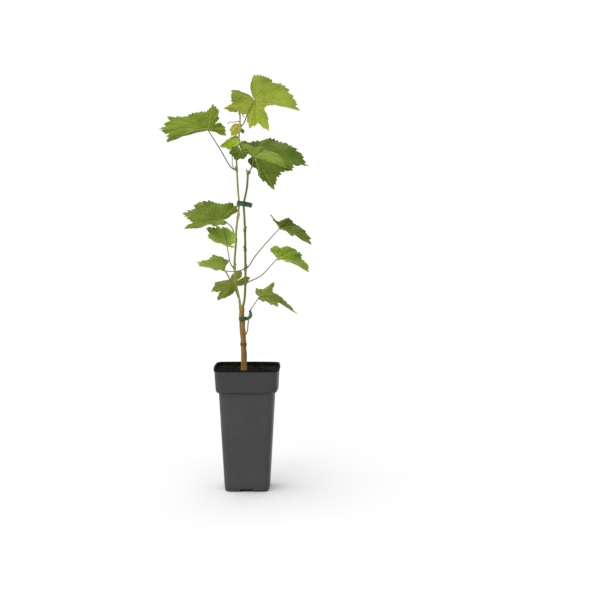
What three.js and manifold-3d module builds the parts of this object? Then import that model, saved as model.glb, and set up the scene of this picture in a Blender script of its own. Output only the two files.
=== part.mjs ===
// A young grapevine in a deep square nursery pot.
//
// Millimetres, +Z up. The origin is the middle of the pot's flat underside, X runs to the
// plant's right and Y to its back. A short woody trunk rises from the potting mix and forks
// into two green shoots. Each leaf stands on its own stalk at a node of a shoot or the trunk.

import * as THREE from 'three';
import { mergeVertices } from 'three/addons/utils/BufferGeometryUtils.js';
import Module from 'manifold-3d';

const wasm = await Module();
wasm.setup();

// ---------------------------------------------------------------- driving dimensions

const gap = 0.3;                    // running clearance between neighbouring pieces

const pot = {
  height: 208,
  rimHalf: 56,                      // half width over the bead of the rim
  beadHeight: 3.5,
  collarTopHalf: 55,
  collarBottomHalf: 53,
  collarHeight: 38,                 // from the rim down to the ledge
  ledgeDrop: 2,
  bodyTopHalf: 48,
  bodyBottomHalf: 38.4,
  edgeRound: 3.5,                   // chamfer round the foot
  wall: 1.6,
  floor: 7,
  corner: 0.26,                     // corner radius as a share of the half width
  rimCorner: 0.17,                  // the same at the rim, where the corners are tighter
  bow: 0.035,                       // how far each side bows out, as a share of the half width
};

const drain = { width: 23, height: 5, depth: 13, holeRadius: 4.5, steps: 12 };

const soil = {
  top: 196,                         // level in the middle of the pot
  rise: 6,                          // how much higher the mix stands at the walls
  flatShare: 0.3,                   // share of the half width that is level
  riseShares: [1, 0.85, 0.6],       // shares of the half width where its slope is laid out
};

const trunk = {
  baseRadius: 5,
  topRadius: 4,
  flare: 0.7,                       // extra radius where the roots spread
  flareHeight: 6,
  nodeHeight: 245,
  forkSwelling: 0.9,
  forkHeight: 311,
};

const nodeSwelling = 0.8;           // extra radius of a shoot at each node
const nodeHalfLength = 5;

const blade = {
  halfThickness: 0.8,
  arch: 0.15,                       // rise of each ray between joint and edge, as a share of it
  pleat: 0.1,                       // rise of the fields between the main veins
  pleatFade: 0.55,                  // how much of that rise is lost at the edge
  tooth: 0.94,
  stepsPerSector: 5,
  rings: 3,
};

const stalk = { baseRadius: 1.35, tipRadius: 0.95, endShort: 1.2, sides: 6, steps: 9 };

const tape = {
  thickness: 0.9,
  start: 0.35,                      // turn at which the band begins, in radians from +X
  end: 6.18,                        // and where it leaves the stems
  ringSteps: 16,
  tailSteps: 6,
};

// ---------------------------------------------------------------- materials

function finish(name, color, roughness) {
  return new THREE.MeshStandardMaterial({ name, color, roughness, metalness: 0 });
}

const finishes = {
  pot: () => finish('pot_plastic', 0x454544, 0.55),
  soil: () => finish('potting_mix', 0x2f251c, 1),
  bark: () => finish('bark', 0x6e5a3c, 0.85),
  shoot: () => finish('green_shoot', 0x8f9549, 0.6),
  stalk: () => finish('leaf_stalk', 0x7d7d45, 0.6),
  leaf: () => finish('leaf', 0x5f7f2f, 0.6),
  young: () => finish('young_leaf', 0x9fb24a, 0.6),
  tie: () => finish('plant_tie', 0x1f5a3a, 0.5),
};

// ---------------------------------------------------------------- geometry helpers

// The closed surface of a geometry, with its seams merged and only its positions kept.
function welded(geometry) {
  const bare = geometry.index ? geometry.toNonIndexed() : geometry.clone();
  bare.deleteAttribute('normal');
  bare.deleteAttribute('uv');
  return mergeVertices(bare, 1e-4);
}

function toSolid(geometry) {
  const shell = welded(geometry);
  const triangles = [];
  for (let i = 0; i < shell.index.count; i += 3) {
    const corners = [0, 1, 2].map((k) => shell.index.getX(i + k));
    if (new Set(corners).size === 3) triangles.push(...corners);
  }
  const mesh = new wasm.Mesh({
    numProp: 3,
    vertProperties: new Float32Array(shell.attributes.position.array),
    triVerts: new Uint32Array(triangles),
  });
  return new wasm.Manifold(mesh);
}

function fromSolid(solid) {
  const mesh = solid.getMesh();
  const geometry = new THREE.BufferGeometry();
  geometry.setAttribute('position', new THREE.BufferAttribute(mesh.vertProperties, 3));
  geometry.setIndex(new THREE.BufferAttribute(mesh.triVerts, 1));
  geometry.computeVertexNormals();
  return geometry;
}

// Moves every vertex of a geometry through a function that edits it in place.
function reshape(geometry, move) {
  const positions = geometry.attributes.position;
  const point = new THREE.Vector3();
  for (let i = 0; i < positions.count; i += 1) {
    point.fromBufferAttribute(positions, i);
    move(point);
    positions.setXYZ(i, point.x, point.y, point.z);
  }
  return geometry;
}

function curveThrough(points) {
  return new THREE.CatmullRomCurve3(points.map((p) => new THREE.Vector3(...p)), false, 'centripetal');
}

// A round limb along a curve: a cylinder whose rings are laid on the curve's frames. A limb
// that is cut level has both its end rings at one height.
function limb(curve, radiusAt, sides, steps, cutLevel = false) {
  const frames = curve.computeFrenetFrames(steps);
  const centres = curve.getSpacedPoints(steps);
  return reshape(new THREE.CylinderGeometry(1, 1, 1, sides, steps), (p) => {
    const ring = Math.round((p.y + 0.5) * steps);
    const radius = radiusAt(centres[ring]);
    const across = frames.normals[ring].clone().multiplyScalar(p.x * radius);
    const over = frames.binormals[ring].clone().multiplyScalar(-p.z * radius);
    p.copy(centres[ring]).add(across).add(over);
    if (cutLevel && ring % steps === 0) p.z = centres[ring].z;
  });
}

// A smooth rise from 0 at `reach` away to 1 at the middle.
function bump(distance, reach) {
  const share = Math.min(Math.abs(distance) / reach, 1);
  return (1 - share * share) ** 2;
}

// The point of a rising curve at a given height.
function atHeight(curve, height) {
  let low = 0;
  let high = 1;
  while (high - low > 1e-4) {
    const middle = (low + high) / 2;
    if (curve.getPointAt(middle).z < height) low = middle;
    else high = middle;
  }
  return curve.getPointAt(low);
}

// ---------------------------------------------------------------- pot and potting mix

const cornerSteps = 4;
const sideSteps = 3;
const quarterColumns = cornerSteps + sideSteps;
const potColumns = 4 * quarterColumns;
const quarterTurn = Math.PI / 2;

// A point on the outline of a square with rounded corners and bowed sides. Columns count
// round the outline: each quarter is one corner's arc, then the side that follows it.
function onSquare(column, half, cornerShare) {
  const quarter = Math.floor(column / quarterColumns);
  const step = column % quarterColumns;
  const bow = pot.bow * half;
  const radius = cornerShare * half;
  const flat = half - bow - radius;
  const middle = (quarter + 0.5) * quarterTurn;
  const angle = (quarter + Math.min(step / cornerSteps, 1)) * quarterTurn;
  const x = flat * Math.SQRT2 * Math.cos(middle) + radius * Math.cos(angle);
  const y = flat * Math.SQRT2 * Math.sin(middle) + radius * Math.sin(angle);
  if (step <= cornerSteps) return [x, y];
  const share = (step - cornerSteps) / sideSteps;
  const swell = bow * (1 - (2 * share - 1) ** 2);
  const along = 2 * flat * share;
  return [
    x - Math.sin(angle) * along + Math.cos(angle) * swell,
    y + Math.cos(angle) * along + Math.sin(angle) * swell,
  ];
}

const ledgeTop = pot.height - pot.collarHeight;
const ledgeBottom = ledgeTop - pot.ledgeDrop;

// Turns a profile of [half width, height] points round Z, and squares the circle: each
// column of the lathe goes to one point of the rounded square.
function squareTurned(profile) {
  const outline = profile.map(([half, height]) => new THREE.Vector2(half, height));
  const turned = new THREE.LatheGeometry(outline, potColumns);
  turned.rotateX(Math.PI / 2);
  return reshape(turned, (p) => {
    const half = Math.hypot(p.x, p.y);
    if (half < 1e-6) return;
    const turn = (Math.atan2(p.y, p.x) / (2 * Math.PI) + 1) % 1;
    const column = Math.round(turn * potColumns) % potColumns;
    const raised = THREE.MathUtils.clamp((p.z - ledgeTop) / pot.collarHeight, 0, 1);
    const cornerShare = THREE.MathUtils.lerp(pot.corner, pot.rimCorner, raised);
    [p.x, p.y] = onSquare(column, half, cornerShare);
  });
}

// Half width of the tapered body at a height below the ledge.
function bodyHalf(height) {
  const share = height / ledgeBottom;
  return pot.bodyBottomHalf + (pot.bodyTopHalf - pot.bodyBottomHalf) * share;
}

// Half width of the collar at a height above the ledge.
function collarHalf(height) {
  const share = (height - ledgeTop) / pot.collarHeight;
  return pot.collarBottomHalf + (pot.collarTopHalf - pot.collarBottomHalf) * share;
}

// Across each side of the foot runs an arched recess, with a drain hole in its roof.
function drainCutter(turn) {
  const arch = new THREE.Shape();
  const half = drain.width / 2;
  arch.moveTo(-half, -1);
  arch.lineTo(half, -1);
  arch.lineTo(half, drain.height * 0.4);
  arch.quadraticCurveTo(half * 0.9, drain.height, half * 0.5, drain.height);
  arch.lineTo(-half * 0.5, drain.height);
  arch.quadraticCurveTo(-half * 0.9, drain.height, -half, drain.height * 0.4);
  arch.closePath();
  const recess = new THREE.ExtrudeGeometry(arch, {
    depth: drain.depth + 2,
    bevelEnabled: false,
    curveSegments: 3,
  });
  recess.rotateX(Math.PI / 2);
  recess.translate(0, 2 - pot.bodyBottomHalf + drain.depth, 0);
  recess.rotateZ(turn);
  const hole = new THREE.CylinderGeometry(drain.holeRadius, drain.holeRadius, 6, drain.steps);
  hole.rotateX(Math.PI / 2);
  hole.translate(0, drain.depth - drain.holeRadius - 2 - pot.bodyBottomHalf, pot.floor);
  hole.rotateZ(turn);
  return toSolid(recess).add(toSolid(hole));
}

function potGeometry() {
  const shell = squareTurned([
    [0, 0],
    [pot.bodyBottomHalf - pot.edgeRound, 0],
    [bodyHalf(0) - pot.edgeRound * 0.25, pot.edgeRound * 0.3],
    [bodyHalf(pot.edgeRound), pot.edgeRound],
    [bodyHalf(ledgeBottom), ledgeBottom],
    [pot.collarBottomHalf - 1.2, ledgeTop - 1],
    [pot.collarBottomHalf, ledgeTop],
    [collarHalf(pot.height - pot.beadHeight), pot.height - pot.beadHeight],
    [pot.rimHalf, pot.height - pot.beadHeight + 0.8],
    [pot.rimHalf, pot.height - 1],
    [pot.rimHalf - 1, pot.height],
    [pot.collarTopHalf - pot.wall + 0.6, pot.height],
    [pot.collarTopHalf - pot.wall, pot.height - 1],
    [pot.collarBottomHalf - pot.wall, ledgeTop + pot.wall],
    [bodyHalf(ledgeBottom) - pot.wall, ledgeBottom + pot.wall],
    [bodyHalf(pot.floor) - pot.wall, pot.floor],
    [0, pot.floor],
  ]);
  let solid = toSolid(shell);
  for (let side = 0; side < 4; side += 1) {
    solid = solid.subtract(drainCutter((side * Math.PI) / 2));
  }
  return fromSolid(solid);
}

function soilGeometry() {
  const inset = pot.wall + gap;
  const edge = collarHalf(soil.top + soil.rise) - inset;
  return squareTurned([
    [0, pot.floor + gap],
    [bodyHalf(pot.floor) - inset, pot.floor + gap],
    [bodyHalf(ledgeBottom) - inset, ledgeBottom + inset],
    [pot.collarBottomHalf - inset, ledgeTop + inset],
    ...soil.riseShares.map((share) => [edge * share, soil.top + soil.rise * share ** 3]),
    [edge * soil.flatShare, soil.top],
    [0, soil.top],
  ]);
}

// ---------------------------------------------------------------- trunk and shoots

const trunkCurve = curveThrough([
  [-5, 0, soil.top + gap],
  [-5.5, 0, 220],
  [-6, 0, trunk.nodeHeight],
  [-8, 0, 280],
  [-9.3, 0, trunk.forkHeight],
]);

function trunkRadius(p) {
  const share = (p.z - soil.top) / (trunk.forkHeight - soil.top);
  const taper = trunk.baseRadius + (trunk.topRadius - trunk.baseRadius) * share;
  const flare = trunk.flare * Math.exp(-(p.z - soil.top) / trunk.flareHeight);
  const ring = nodeSwelling * bump(p.z - trunk.nodeHeight, nodeHalfLength);
  const fork = trunk.forkSwelling * bump(p.z - trunk.forkHeight, 14);
  return taper + flare + ring + fork;
}

const shoots = {
  left: {
    curve: curveThrough([
      [-11.7, 0, trunk.forkHeight + gap],
      [-13, 0, 322],
      [-16.2, 0, 336],
      [-18.7, 0, 348],
      [-20, 0, 362],
      [-20.6, 0, 380],
      [-19.8, 0, 395],
      [-18.6, 0, 409],
      [-17.5, 0, 436],
      [-13.6, 0, 468],
      [-12.8, 0, 482],
      [-14.4, 1, 504],
      [-16, 0, 537],
      [-16.5, -1, 556],
      [-13.8, 0, 582],
      [-10.8, 0, 610],
      [-10.5, 0, 634],
    ]),
    base: 2,
    tip: 1.2,
    nodes: [350, 375, 420, 459, 537, 582, 608],
    steps: 40,
  },
  right: {
    curve: curveThrough([
      [-6.6, 0, trunk.forkHeight + gap],
      [-4, 0, 322],
      [-2.6, 0, 348],
      [-2.4, 0, 375],
      [-2.6, 0, 404],
      [-3, 0, 437],
      [-4, 0, 462],
      [-4.9, 0, 481],
      [-2.4, 0, 493],
      [0.8, 0, 510],
      [2.4, 0, 536],
    ]),
    base: 2,
    tip: 1.7,
    nodes: [348, 373, 404, 437, 532],
    steps: 30,
  },
};

function shootRadius(shoot) {
  const foot = shoot.curve.getPointAt(0).z;
  const head = shoot.curve.getPointAt(1).z;
  return (p) => {
    const taper = shoot.base + ((shoot.tip - shoot.base) * (p.z - foot)) / (head - foot);
    return shoot.nodes.reduce(
      (radius, height) => radius + nodeSwelling * bump(p.z - height, nodeHalfLength),
      taper,
    );
  };
}

// ---------------------------------------------------------------- leaves

// Each leaf has five main veins that fan out from its joint with the stalk, listed round
// the blade from its right-hand base to its left-hand base. A vein is its bearing (degrees
// from +X towards +Y), its rise above level (degrees) and its length. `dips` shapes the
// outline between neighbouring veins: how deep it dips, where, how sharply before and after
// that place, and how far the blade bulges to its upper face there (degrees). `skirt` is how
// far each base lobe runs on behind its own vein, `twist` how far that lobe is turned about
// the vein, and `bend` how far each vein bows sideways. A stalk leaves its carrier at
// `height` and passes through `by`.
const even = [0.1, 0.5, 1.2, 1.2, 0];
const allEven = [even, even, even, even];
const noTwist = [0, 0];
const noBend = [0, 0, 0, 0, 0];

const leaves = [
  {
    name: 'crown_right',
    at: [15, -8, 652],
    veins: [[-100, 71, 43], [-9, -15, 77], [-15, -65, 56], [-138, -76, 49], [-153, 20, 47]],
    dips: [
      [0.27, 0.48, 0.5, 0.35, 0],
      [0.68, 0.63, 5, 1, 0],
      [0.28, 0.5, 0.8, 0.8, 0],
      [0.62, 0.2, 0.5, 0.35, 0],
    ],
    skirt: [20, 14],
    bend: [0, -0.14, 0, 0, 0],
    carrier: 'left',
    height: 609,
    by: [[-5, -4, 613.5], [0.5, -9, 626], [6, -13, 638.5]],
    young: true,
  },
  {
    name: 'crown_left',
    at: [-64, 0, 603.5],
    veins: [[71, 62, 50], [149, 14, 87], [176, 1, 84], [-156, -17, 76], [-42, -15, 46]],
    dips: [
      [0.38, 0.45, 2, 2.5, 0],
      [0.15, 0.35, 1, 1.2, 0],
      [0.12, 0.5, 1.2, 1.2, 0],
      [0.5, 0.5, 0.9, 1.5, 26],
    ],
    skirt: [48, 60],
    twist: [0, 50],
    carrier: 'left',
    height: 537,
    by: [[-25, 0, 541], [-43, 0, 570]],
  },
  {
    name: 'young_left',
    at: [-12.5, -13, 587],
    veins: [[127, 44, 10], [160, 7, 17], [180, -20, 34], [-155, -51, 23], [-108, -51, 13]],
    dips: allEven,
    skirt: [30, 35],
    carrier: 'left',
    height: 581,
    by: [[-13, -7, 583]],
    young: true,
  },
  {
    name: 'upper_right',
    at: [9.5, 18, 561],
    veins: [[-92, -50, 22], [-29, -16, 81], [-2, -11, 98], [61, 38, 49], [129, 38, 43]],
    dips: [
      even,
      even,
      [0.05, 0.5, 1.5, 1.5, 0],
      [0.3, 0.5, 1.2, 1.2, 0],
    ],
    skirt: [50, 35],
    carrier: 'right',
    height: 531,
    by: [[10, 8, 545]],
  },
  {
    name: 'upper_right_near',
    at: [14.5, -20, 559],
    veins: [[-60, -64, 40], [-24, -58, 66], [-10, -18, 58], [64, 16, 46], [143, 36, 42]],
    dips: [
      [0.05, 0.5, 1.2, 1.2, 0],
      [0.14, 0.35, 1, 1, 0],
      [0.08, 0.5, 1, 1, 0],
      [0.3, 0.5, 1.2, 1.2, 0],
    ],
    skirt: [6, 34],
    carrier: 'right',
    height: 530,
    by: [[5, -10, 533], [9.5, -23, 543], [12, -24, 551]],
  },
  {
    name: 'upper_front',
    at: [-8, -25, 569],
    veins: [[172, 19, 17], [-158, -14, 22], [-120, -43, 24], [-66, -47, 20], [-15, -8, 15]],
    dips: allEven,
    skirt: [50, 50],
    carrier: 'left',
    height: 566,
    by: [[-12, -12, 567]],
  },
  {
    name: 'middle_left',
    at: [-43.5, -8, 455],
    veins: [[42, 33, 46], [135, 27, 64], [169, 8, 67], [-153, -13, 68], [-77, -13, 40]],
    dips: [
      [0.27, 0.5, 1.5, 1.5, 0],
      even,
      [0.26, 0.7, 1, 1, 0],
      [0.3, 0.55, 1, 1, 0],
    ],
    skirt: [35, 25],
    carrier: 'left',
    height: 420,
    by: [[-21, 2, 430], [-25, 4, 441], [-33, 0, 449]],
  },
  {
    name: 'middle_left_near',
    at: [-32.5, -10, 410.5],
    veins: [[15, 50, 24], [109, 49, 42], [-167, 41, 47], [-141, 19, 44], [-52, -1, 23]],
    dips: [
      [0.12, 0.5, 1, 1, 0],
      even,
      even,
      [0.45, 0.5, 1, 1, -6],
    ],
    skirt: [52, 30],
    carrier: 'left',
    height: 371,
    by: [[-23.5, -1, 375], [-27.5, -4, 382], [-30.3, -6, 397]],
  },
  {
    name: 'lower_left',
    at: [-37, -3, 369],
    veins: [[70, 36, 29], [130, 37, 43], [173, 15, 53], [-151, 10, 49], [-82, -1, 24]],
    dips: [
      [0.22, 0.4, 0.9, 0.9, 0],
      [0.3, 0.5, 0.8, 0.8, 0],
      even,
      [0.35, 0.5, 1, 1, 0],
    ],
    skirt: [6, 20],
    bend: [0.2, 0, 0, 0, 0],
    carrier: 'right',
    height: 372,
    by: [[-12, 5, 369], [-20, 6, 367], [-28.5, 3, 367.5]],
  },
  {
    name: 'bottom_left',
    at: [-19.5, 20, 348.5],
    veins: [[60, 46, 25], [165, -4, 38], [-175, -21, 46], [-166, -41, 44], [22, 17, 27]],
    dips: [
      [0.6, 0.6, 0.8, 3, 0],
      even,
      [0.35, 0.5, 0.6, 0.6, 0],
      [0.75, 0.5, 1.5, 1.5, 0],
    ],
    skirt: [30, 20],
    carrier: 'left',
    height: 347,
    by: [[-20, 9, 345]],
  },
  {
    name: 'middle_right',
    at: [55.5, 0, 440.5],
    veins: [[-85, -3, 26], [-60, -13, 45], [-6, -29, 61], [50, 2, 50], [135, 43, 34]],
    dips: [
      [0.4, 0.5, 1.2, 1.2, 0],
      [0.15, 0.5, 1.2, 1.2, 4],
      [0.04, 0.5, 1.2, 1.2, 0],
      [0.6, 0.72, 1.3, 6, 12],
    ],
    skirt: [20, 5],
    carrier: 'right',
    height: 373,
    by: [[2, 0, 375.5], [14, 0, 393.5], [42, 0, 426]],
  },
  {
    name: 'lower_right',
    at: [52, 0, 390],
    veins: [[-85, -2, 26], [-58, -9, 43], [0, -24, 58], [50, 15, 51], [121, 32, 30]],
    dips: [
      [0.5, 0.5, 1.2, 1.2, 0],
      [0.15, 0.5, 1.2, 1.2, 4],
      [0.12, 0.55, 0.9, 0.9, 0],
      [0.05, 0.5, 1.2, 1.2, 0],
    ],
    skirt: [15, 20],
    carrier: 'right',
    height: 348,
    by: [[7, 0, 352], [23.5, 0, 360.5], [42, 0, 379.5]],
  },
  {
    name: 'bottom_right',
    at: [21, -8, 325.5],
    veins: [[-76, -12, 23], [-40, -23, 45], [5, -28, 73], [48, 31, 43], [110, 43, 21]],
    dips: [
      even,
      [0.5, 0.55, 1.4, 3, 11],
      [0.48, 0.62, 1.8, 2, 0],
      [0.4, 0.4, 1.3, 2, -5],
    ],
    skirt: [25, 25],
    bend: [0, 0, 0.2, 0, 0],
    carrier: 'trunk',
    height: 255,
    by: [[0, -1, 266], [1.5, -1, 277], [3, -1.5, 291], [6, -2, 303], [12.5, -5, 313]],
  },
  {
    name: 'tip_young',
    at: [-12.5, 0, 638],
    veins: [[117, 48, 10], [158, 27, 18], [180, 1, 26], [-163, -16, 17], [-136, -38, 9]],
    dips: allEven,
    skirt: [30, 10],
    carrier: 'left',
    height: 627,
    by: [[-13, 0, 633]],
    young: true,
  },
];

function veinVector([bearing, rise, length]) {
  const level = length * Math.cos(THREE.MathUtils.degToRad(rise));
  const turn = THREE.MathUtils.degToRad(bearing);
  const up = length * Math.sin(THREE.MathUtils.degToRad(rise));
  return new THREE.Vector3(level * Math.cos(turn), level * Math.sin(turn), up);
}

// A direction part of the way round from one vein to the next.
function between(a, b, share) {
  const turn = new THREE.Quaternion().setFromUnitVectors(a, b);
  const part = new THREE.Quaternion().slerp(turn, share);
  return a.clone().applyQuaternion(part);
}

// The value at a place of a row of numbers, with a straight run between neighbours.
function along(values, place) {
  const last = values.length - 1;
  const at = THREE.MathUtils.clamp(place, 0, last);
  const step = Math.min(Math.floor(at), last - 1);
  return THREE.MathUtils.lerp(values[step], values[step + 1], at - step);
}

// How far a base lobe still reaches at each quarter of the way round its skirt.
const skirtReach = [1, 0.88, 0.74, 0.56, 0.1];

// The rays of the blade are averaged a little across each vein, so that nothing creases.
const softening = [[-0.1, 0.6], [-0.05, 0.8], [0, 1], [0.05, 0.8], [0.1, 0.6]];

const lastVein = 4;
const fanStart = -1;
const fanEnd = lastVein + 1;
const slopeStep = 0.1;

// The blade as rays from its joint. A place on the fan runs from -1 to 5: whole numbers
// 0 to 4 are the veins, and the ends are the two skirts. Gives the ray's direction, the
// outline's distance along it, and the way the upper face looks there.
function bladeFan(leaf) {
  const veins = leaf.veins.map(veinVector);
  const lengths = veins.map((v) => v.length());
  const directions = veins.map((v) => v.clone().normalize());
  const faces = directions
    .slice(1)
    .map((next, i) => directions[i].clone().cross(next).normalize());
  const normals = directions.map((_, i) => {
    const before = faces[Math.max(i - 1, 0)];
    const after = faces[Math.min(i, faces.length - 1)];
    return before.clone().add(after).normalize();
  });
  const inside = (place) => {
    const i = Math.min(Math.floor(place), lastVein - 1);
    const share = place - i;
    const [depth, middle, before, after, bulge] = leaf.dips[i];
    const early = share < middle;
    const off = early ? (middle - share) / middle : (share - middle) / (1 - middle);
    const dip = depth * (1 - off ** (early ? before : after));
    const ray = between(directions[i], directions[i + 1], share);
    const tilt = THREE.MathUtils.degToRad(bulge) * Math.sin(Math.PI * share);
    ray.applyAxisAngle(ray.clone().cross(faces[i]), tilt);
    return {
      ray,
      reach: along(lengths, place) * (1 - dip),
      normal: normals[i].clone().lerp(normals[i + 1], share).normalize(),
    };
  };
  const twist = leaf.twist ?? noTwist;
  const skirt = (place) => {
    const side = place < 0 ? 0 : 1;
    const end = side * lastVein;
    const over = Math.abs(place - end);
    const angle = THREE.MathUtils.degToRad(leaf.skirt[side]) * over * (2 * side - 1);
    const turn = THREE.MathUtils.degToRad(twist[side]);
    const axis = normals[end].clone().applyAxisAngle(directions[end], turn);
    return {
      ray: directions[end].clone().applyAxisAngle(axis, angle),
      reach: lengths[end] * along(skirtReach, over * (skirtReach.length - 1)),
      normal: axis,
    };
  };
  const at = (place) => (place >= 0 && place <= lastVein ? inside(place) : skirt(place));
  return (place) => {
    const ray = new THREE.Vector3();
    for (const [shift, weight] of softening) {
      const near = THREE.MathUtils.clamp(place + shift, fanStart, fanEnd);
      ray.addScaledVector(at(near).ray, weight);
    }
    return { ...at(place), ray: ray.normalize(), span: along(lengths, place) };
  };
}

// How far the blade stands proud of its flat rays at a share of the way out.
function bladeLift(place, reach, out) {
  const fold = place > 0 && place < lastVein ? Math.abs(Math.sin(Math.PI * place)) : 0;
  const pleat = blade.pleat * fold * out * (1 - blade.pleatFade * out);
  return reach * (blade.arch * out * (1 - out) + pleat);
}

// Gives points of a blade's middle surface, at a place on its fan and a share of the way
// out. `cut` shortens the ray there, and `grown` lengthens every ray.
function bladeMiddle(leaf, fan, grown) {
  const joint = new THREE.Vector3(...leaf.at);
  const bend = leaf.bend ?? noBend;
  return (place, out, cut = 1) => {
    const { ray, reach, normal, span } = fan(THREE.MathUtils.clamp(place, fanStart, fanEnd));
    const length = reach * cut + grown * 2;
    const bow = 2 * along(bend, place) * reach * out * (1 - (reach * out) / span);
    return joint
      .clone()
      .addScaledVector(ray, length * out)
      .addScaledVector(normal.clone().cross(ray), bow)
      .addScaledVector(normal, bladeLift(place, length, out));
  };
}

// The way the upper face looks at a point of the middle surface away from the joint.
function bladeNormal(middle, place, out) {
  const outward = middle(place, out + slopeStep).sub(middle(place, out - slopeStep));
  const round = middle(place + slopeStep, out).sub(middle(place - slopeStep, out));
  return outward.cross(round).normalize();
}

// A thin closed blade: a sphere's grid, whose poles become the two faces at the joint and
// whose equator becomes the toothed outline. `grown` thickens it on every side.
function bladeGeometry(leaf, grown) {
  const fan = bladeFan(leaf);
  const middle = bladeMiddle(leaf, fan, grown);
  const rays = blade.stepsPerSector * (fanEnd - fanStart) + 1;
  const sphere = new THREE.SphereGeometry(1, rays, blade.rings * 2);
  return reshape(sphere, (p) => {
    const polar = Math.acos(THREE.MathUtils.clamp(p.y, -1, 1)) / Math.PI;
    const ring = Math.round(polar * blade.rings * 2);
    const out = (blade.rings - Math.abs(ring - blade.rings)) / blade.rings;
    const side = Math.sign(blade.rings - ring);
    const turn = (Math.atan2(-p.z, p.x) / (2 * Math.PI) + 1) % 1;
    const column = Math.round(turn * rays) % rays;
    const place = column / blade.stepsPerSector + fanStart;
    const tooth = column % 2 === 0 || column % blade.stepsPerSector === 0 ? 1 : blade.tooth;
    p.copy(middle(place, out, tooth));
    if (out === 1) return;
    const facing = out === 0 ? joinNormal(fan) : bladeNormal(middle, place, out);
    p.addScaledVector(facing, side * (blade.halfThickness * (1 - out ** 3) + grown));
  });
}

// The way a blade faces at its joint: the mean over its veins.
function joinNormal(fan) {
  const mean = new THREE.Vector3();
  for (let vein = 0; vein <= lastVein; vein += 1) mean.add(fan(vein).normal);
  return mean.normalize();
}

// ---------------------------------------------------------------- leaf stalks

const carriers = {
  trunk: { curve: trunkCurve, radiusAt: trunkRadius, sides: 10, steps: 16 },
  left: { ...shoots.left, radiusAt: shootRadius(shoots.left), sides: 8 },
  right: { ...shoots.right, radiusAt: shootRadius(shoots.right), sides: 8 },
};

function carrierGeometry(carrier, grown) {
  const radiusAt = (p) => carrier.radiusAt(p) + grown;
  return limb(carrier.curve, radiusAt, carrier.sides, carrier.steps, true);
}

// A stalk is trimmed clear of the shoot it grows on and of the blade it carries.
function stalkGeometry(leaf) {
  const carrier = carriers[leaf.carrier];
  const start = atHeight(carrier.curve, leaf.height);
  const whole = curveThrough([start.toArray(), ...leaf.by, leaf.at]);
  const end = whole.getPointAt(1 - stalk.endShort / whole.getLength());
  const curve = curveThrough([start.toArray(), ...leaf.by, end.toArray()]);
  const length = curve.getLength();
  const radiusAt = (p) => {
    const share = Math.min(p.distanceTo(start) / length, 1);
    return stalk.baseRadius + (stalk.tipRadius - stalk.baseRadius) * share;
  };
  const trimmed = toSolid(limb(curve, radiusAt, stalk.sides, stalk.steps))
    .subtract(toSolid(carrierGeometry(carrier, gap)))
    .subtract(toSolid(bladeGeometry(leaf, gap)));
  return fromSolid(trimmed);
}

// ---------------------------------------------------------------- ties

// A tie is a tape once round the stems, whose free end stands off at the right. `spread` is
// the distance between the two stems' centres, `slope` the fall of the band to the right.
const ties = {
  upper: {
    centre: [-9, 0, 481.5],
    inner: 2.6,
    spread: 8,
    slope: 0.14,
    width: 8.5,
    endWidth: 8,
    tail: [[3, -0.6, -0.5], [7, -1, -1.4], [11, -1, -2.6]],
  },
  lower: {
    centre: [-8.2, 0, 287.5],
    inner: 4.9,
    spread: 0,
    slope: -0.1,
    width: 6.5,
    endWidth: 3.2,
    tail: [[3, -4, 0.6], [7.5, -6, 2.6], [10.3, -6.5, 6.8], [9.6, -6.2, 10.5], [7.8, -5.6, 13]],
  },
};

function tapePath(tie) {
  const radius = tie.inner + tape.thickness / 2;
  const path = [];
  for (let step = 0; step <= tape.ringSteps; step += 1) {
    const turn = THREE.MathUtils.lerp(tape.start, tape.end, step / tape.ringSteps);
    const across = (Math.sign(Math.cos(turn)) * tie.spread) / 2 + radius * Math.cos(turn);
    path.push(new THREE.Vector3(across, -radius * Math.sin(turn), -tie.slope * across));
  }
  const foot = path.at(-1);
  const steps = tie.tail.map((step) => foot.clone().add(new THREE.Vector3(...step)).toArray());
  const tail = curveThrough([foot.toArray(), ...steps]).getSpacedPoints(tape.tailSteps);
  return [...path, ...tail.slice(1)];
}

// A flat tape along a path: a long box whose sections are carried along it, upright at first.
function tieGeometry(tie) {
  const path = tapePath(tie);
  const last = path.length - 1;
  const upright = [new THREE.Vector3(0, 0, 1)];
  const outward = path.map((_, i) => {
    const ahead = path[Math.min(i + 1, last)].clone().sub(path[Math.max(i - 1, 0)]).normalize();
    const before = upright.at(-1);
    upright.push(before.clone().addScaledVector(ahead, -ahead.dot(before)).normalize());
    return ahead.cross(upright.at(-1));
  });
  const centre = new THREE.Vector3(...tie.centre);
  return reshape(new THREE.BoxGeometry(1, 1, 1, last, 1, 1), (p) => {
    const i = Math.round((p.x + 0.5) * last);
    const onTail = Math.max(i - tape.ringSteps, 0) / tape.tailSteps;
    const high = p.y * THREE.MathUtils.lerp(tie.width, tie.endWidth, onTail);
    const deep = p.z * tape.thickness;
    p.copy(centre).add(path[i]);
    p.addScaledVector(upright[i + 1], high);
    p.addScaledVector(outward[i], deep);
  });
}

// ---------------------------------------------------------------- assembly

const grapevine = new THREE.Group();

function place(name, geometry, material) {
  const mesh = new THREE.Mesh(geometry, material);
  mesh.name = name;
  grapevine.add(mesh);
  return mesh;
}

place('pot', potGeometry(), finishes.pot());
place('potting_mix', soilGeometry(), finishes.soil());

place('trunk', carrierGeometry(carriers.trunk, 0), finishes.bark());
place('shoot_left', carrierGeometry(carriers.left, 0), finishes.shoot());
place('shoot_right', carrierGeometry(carriers.right, 0), finishes.shoot());

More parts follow.
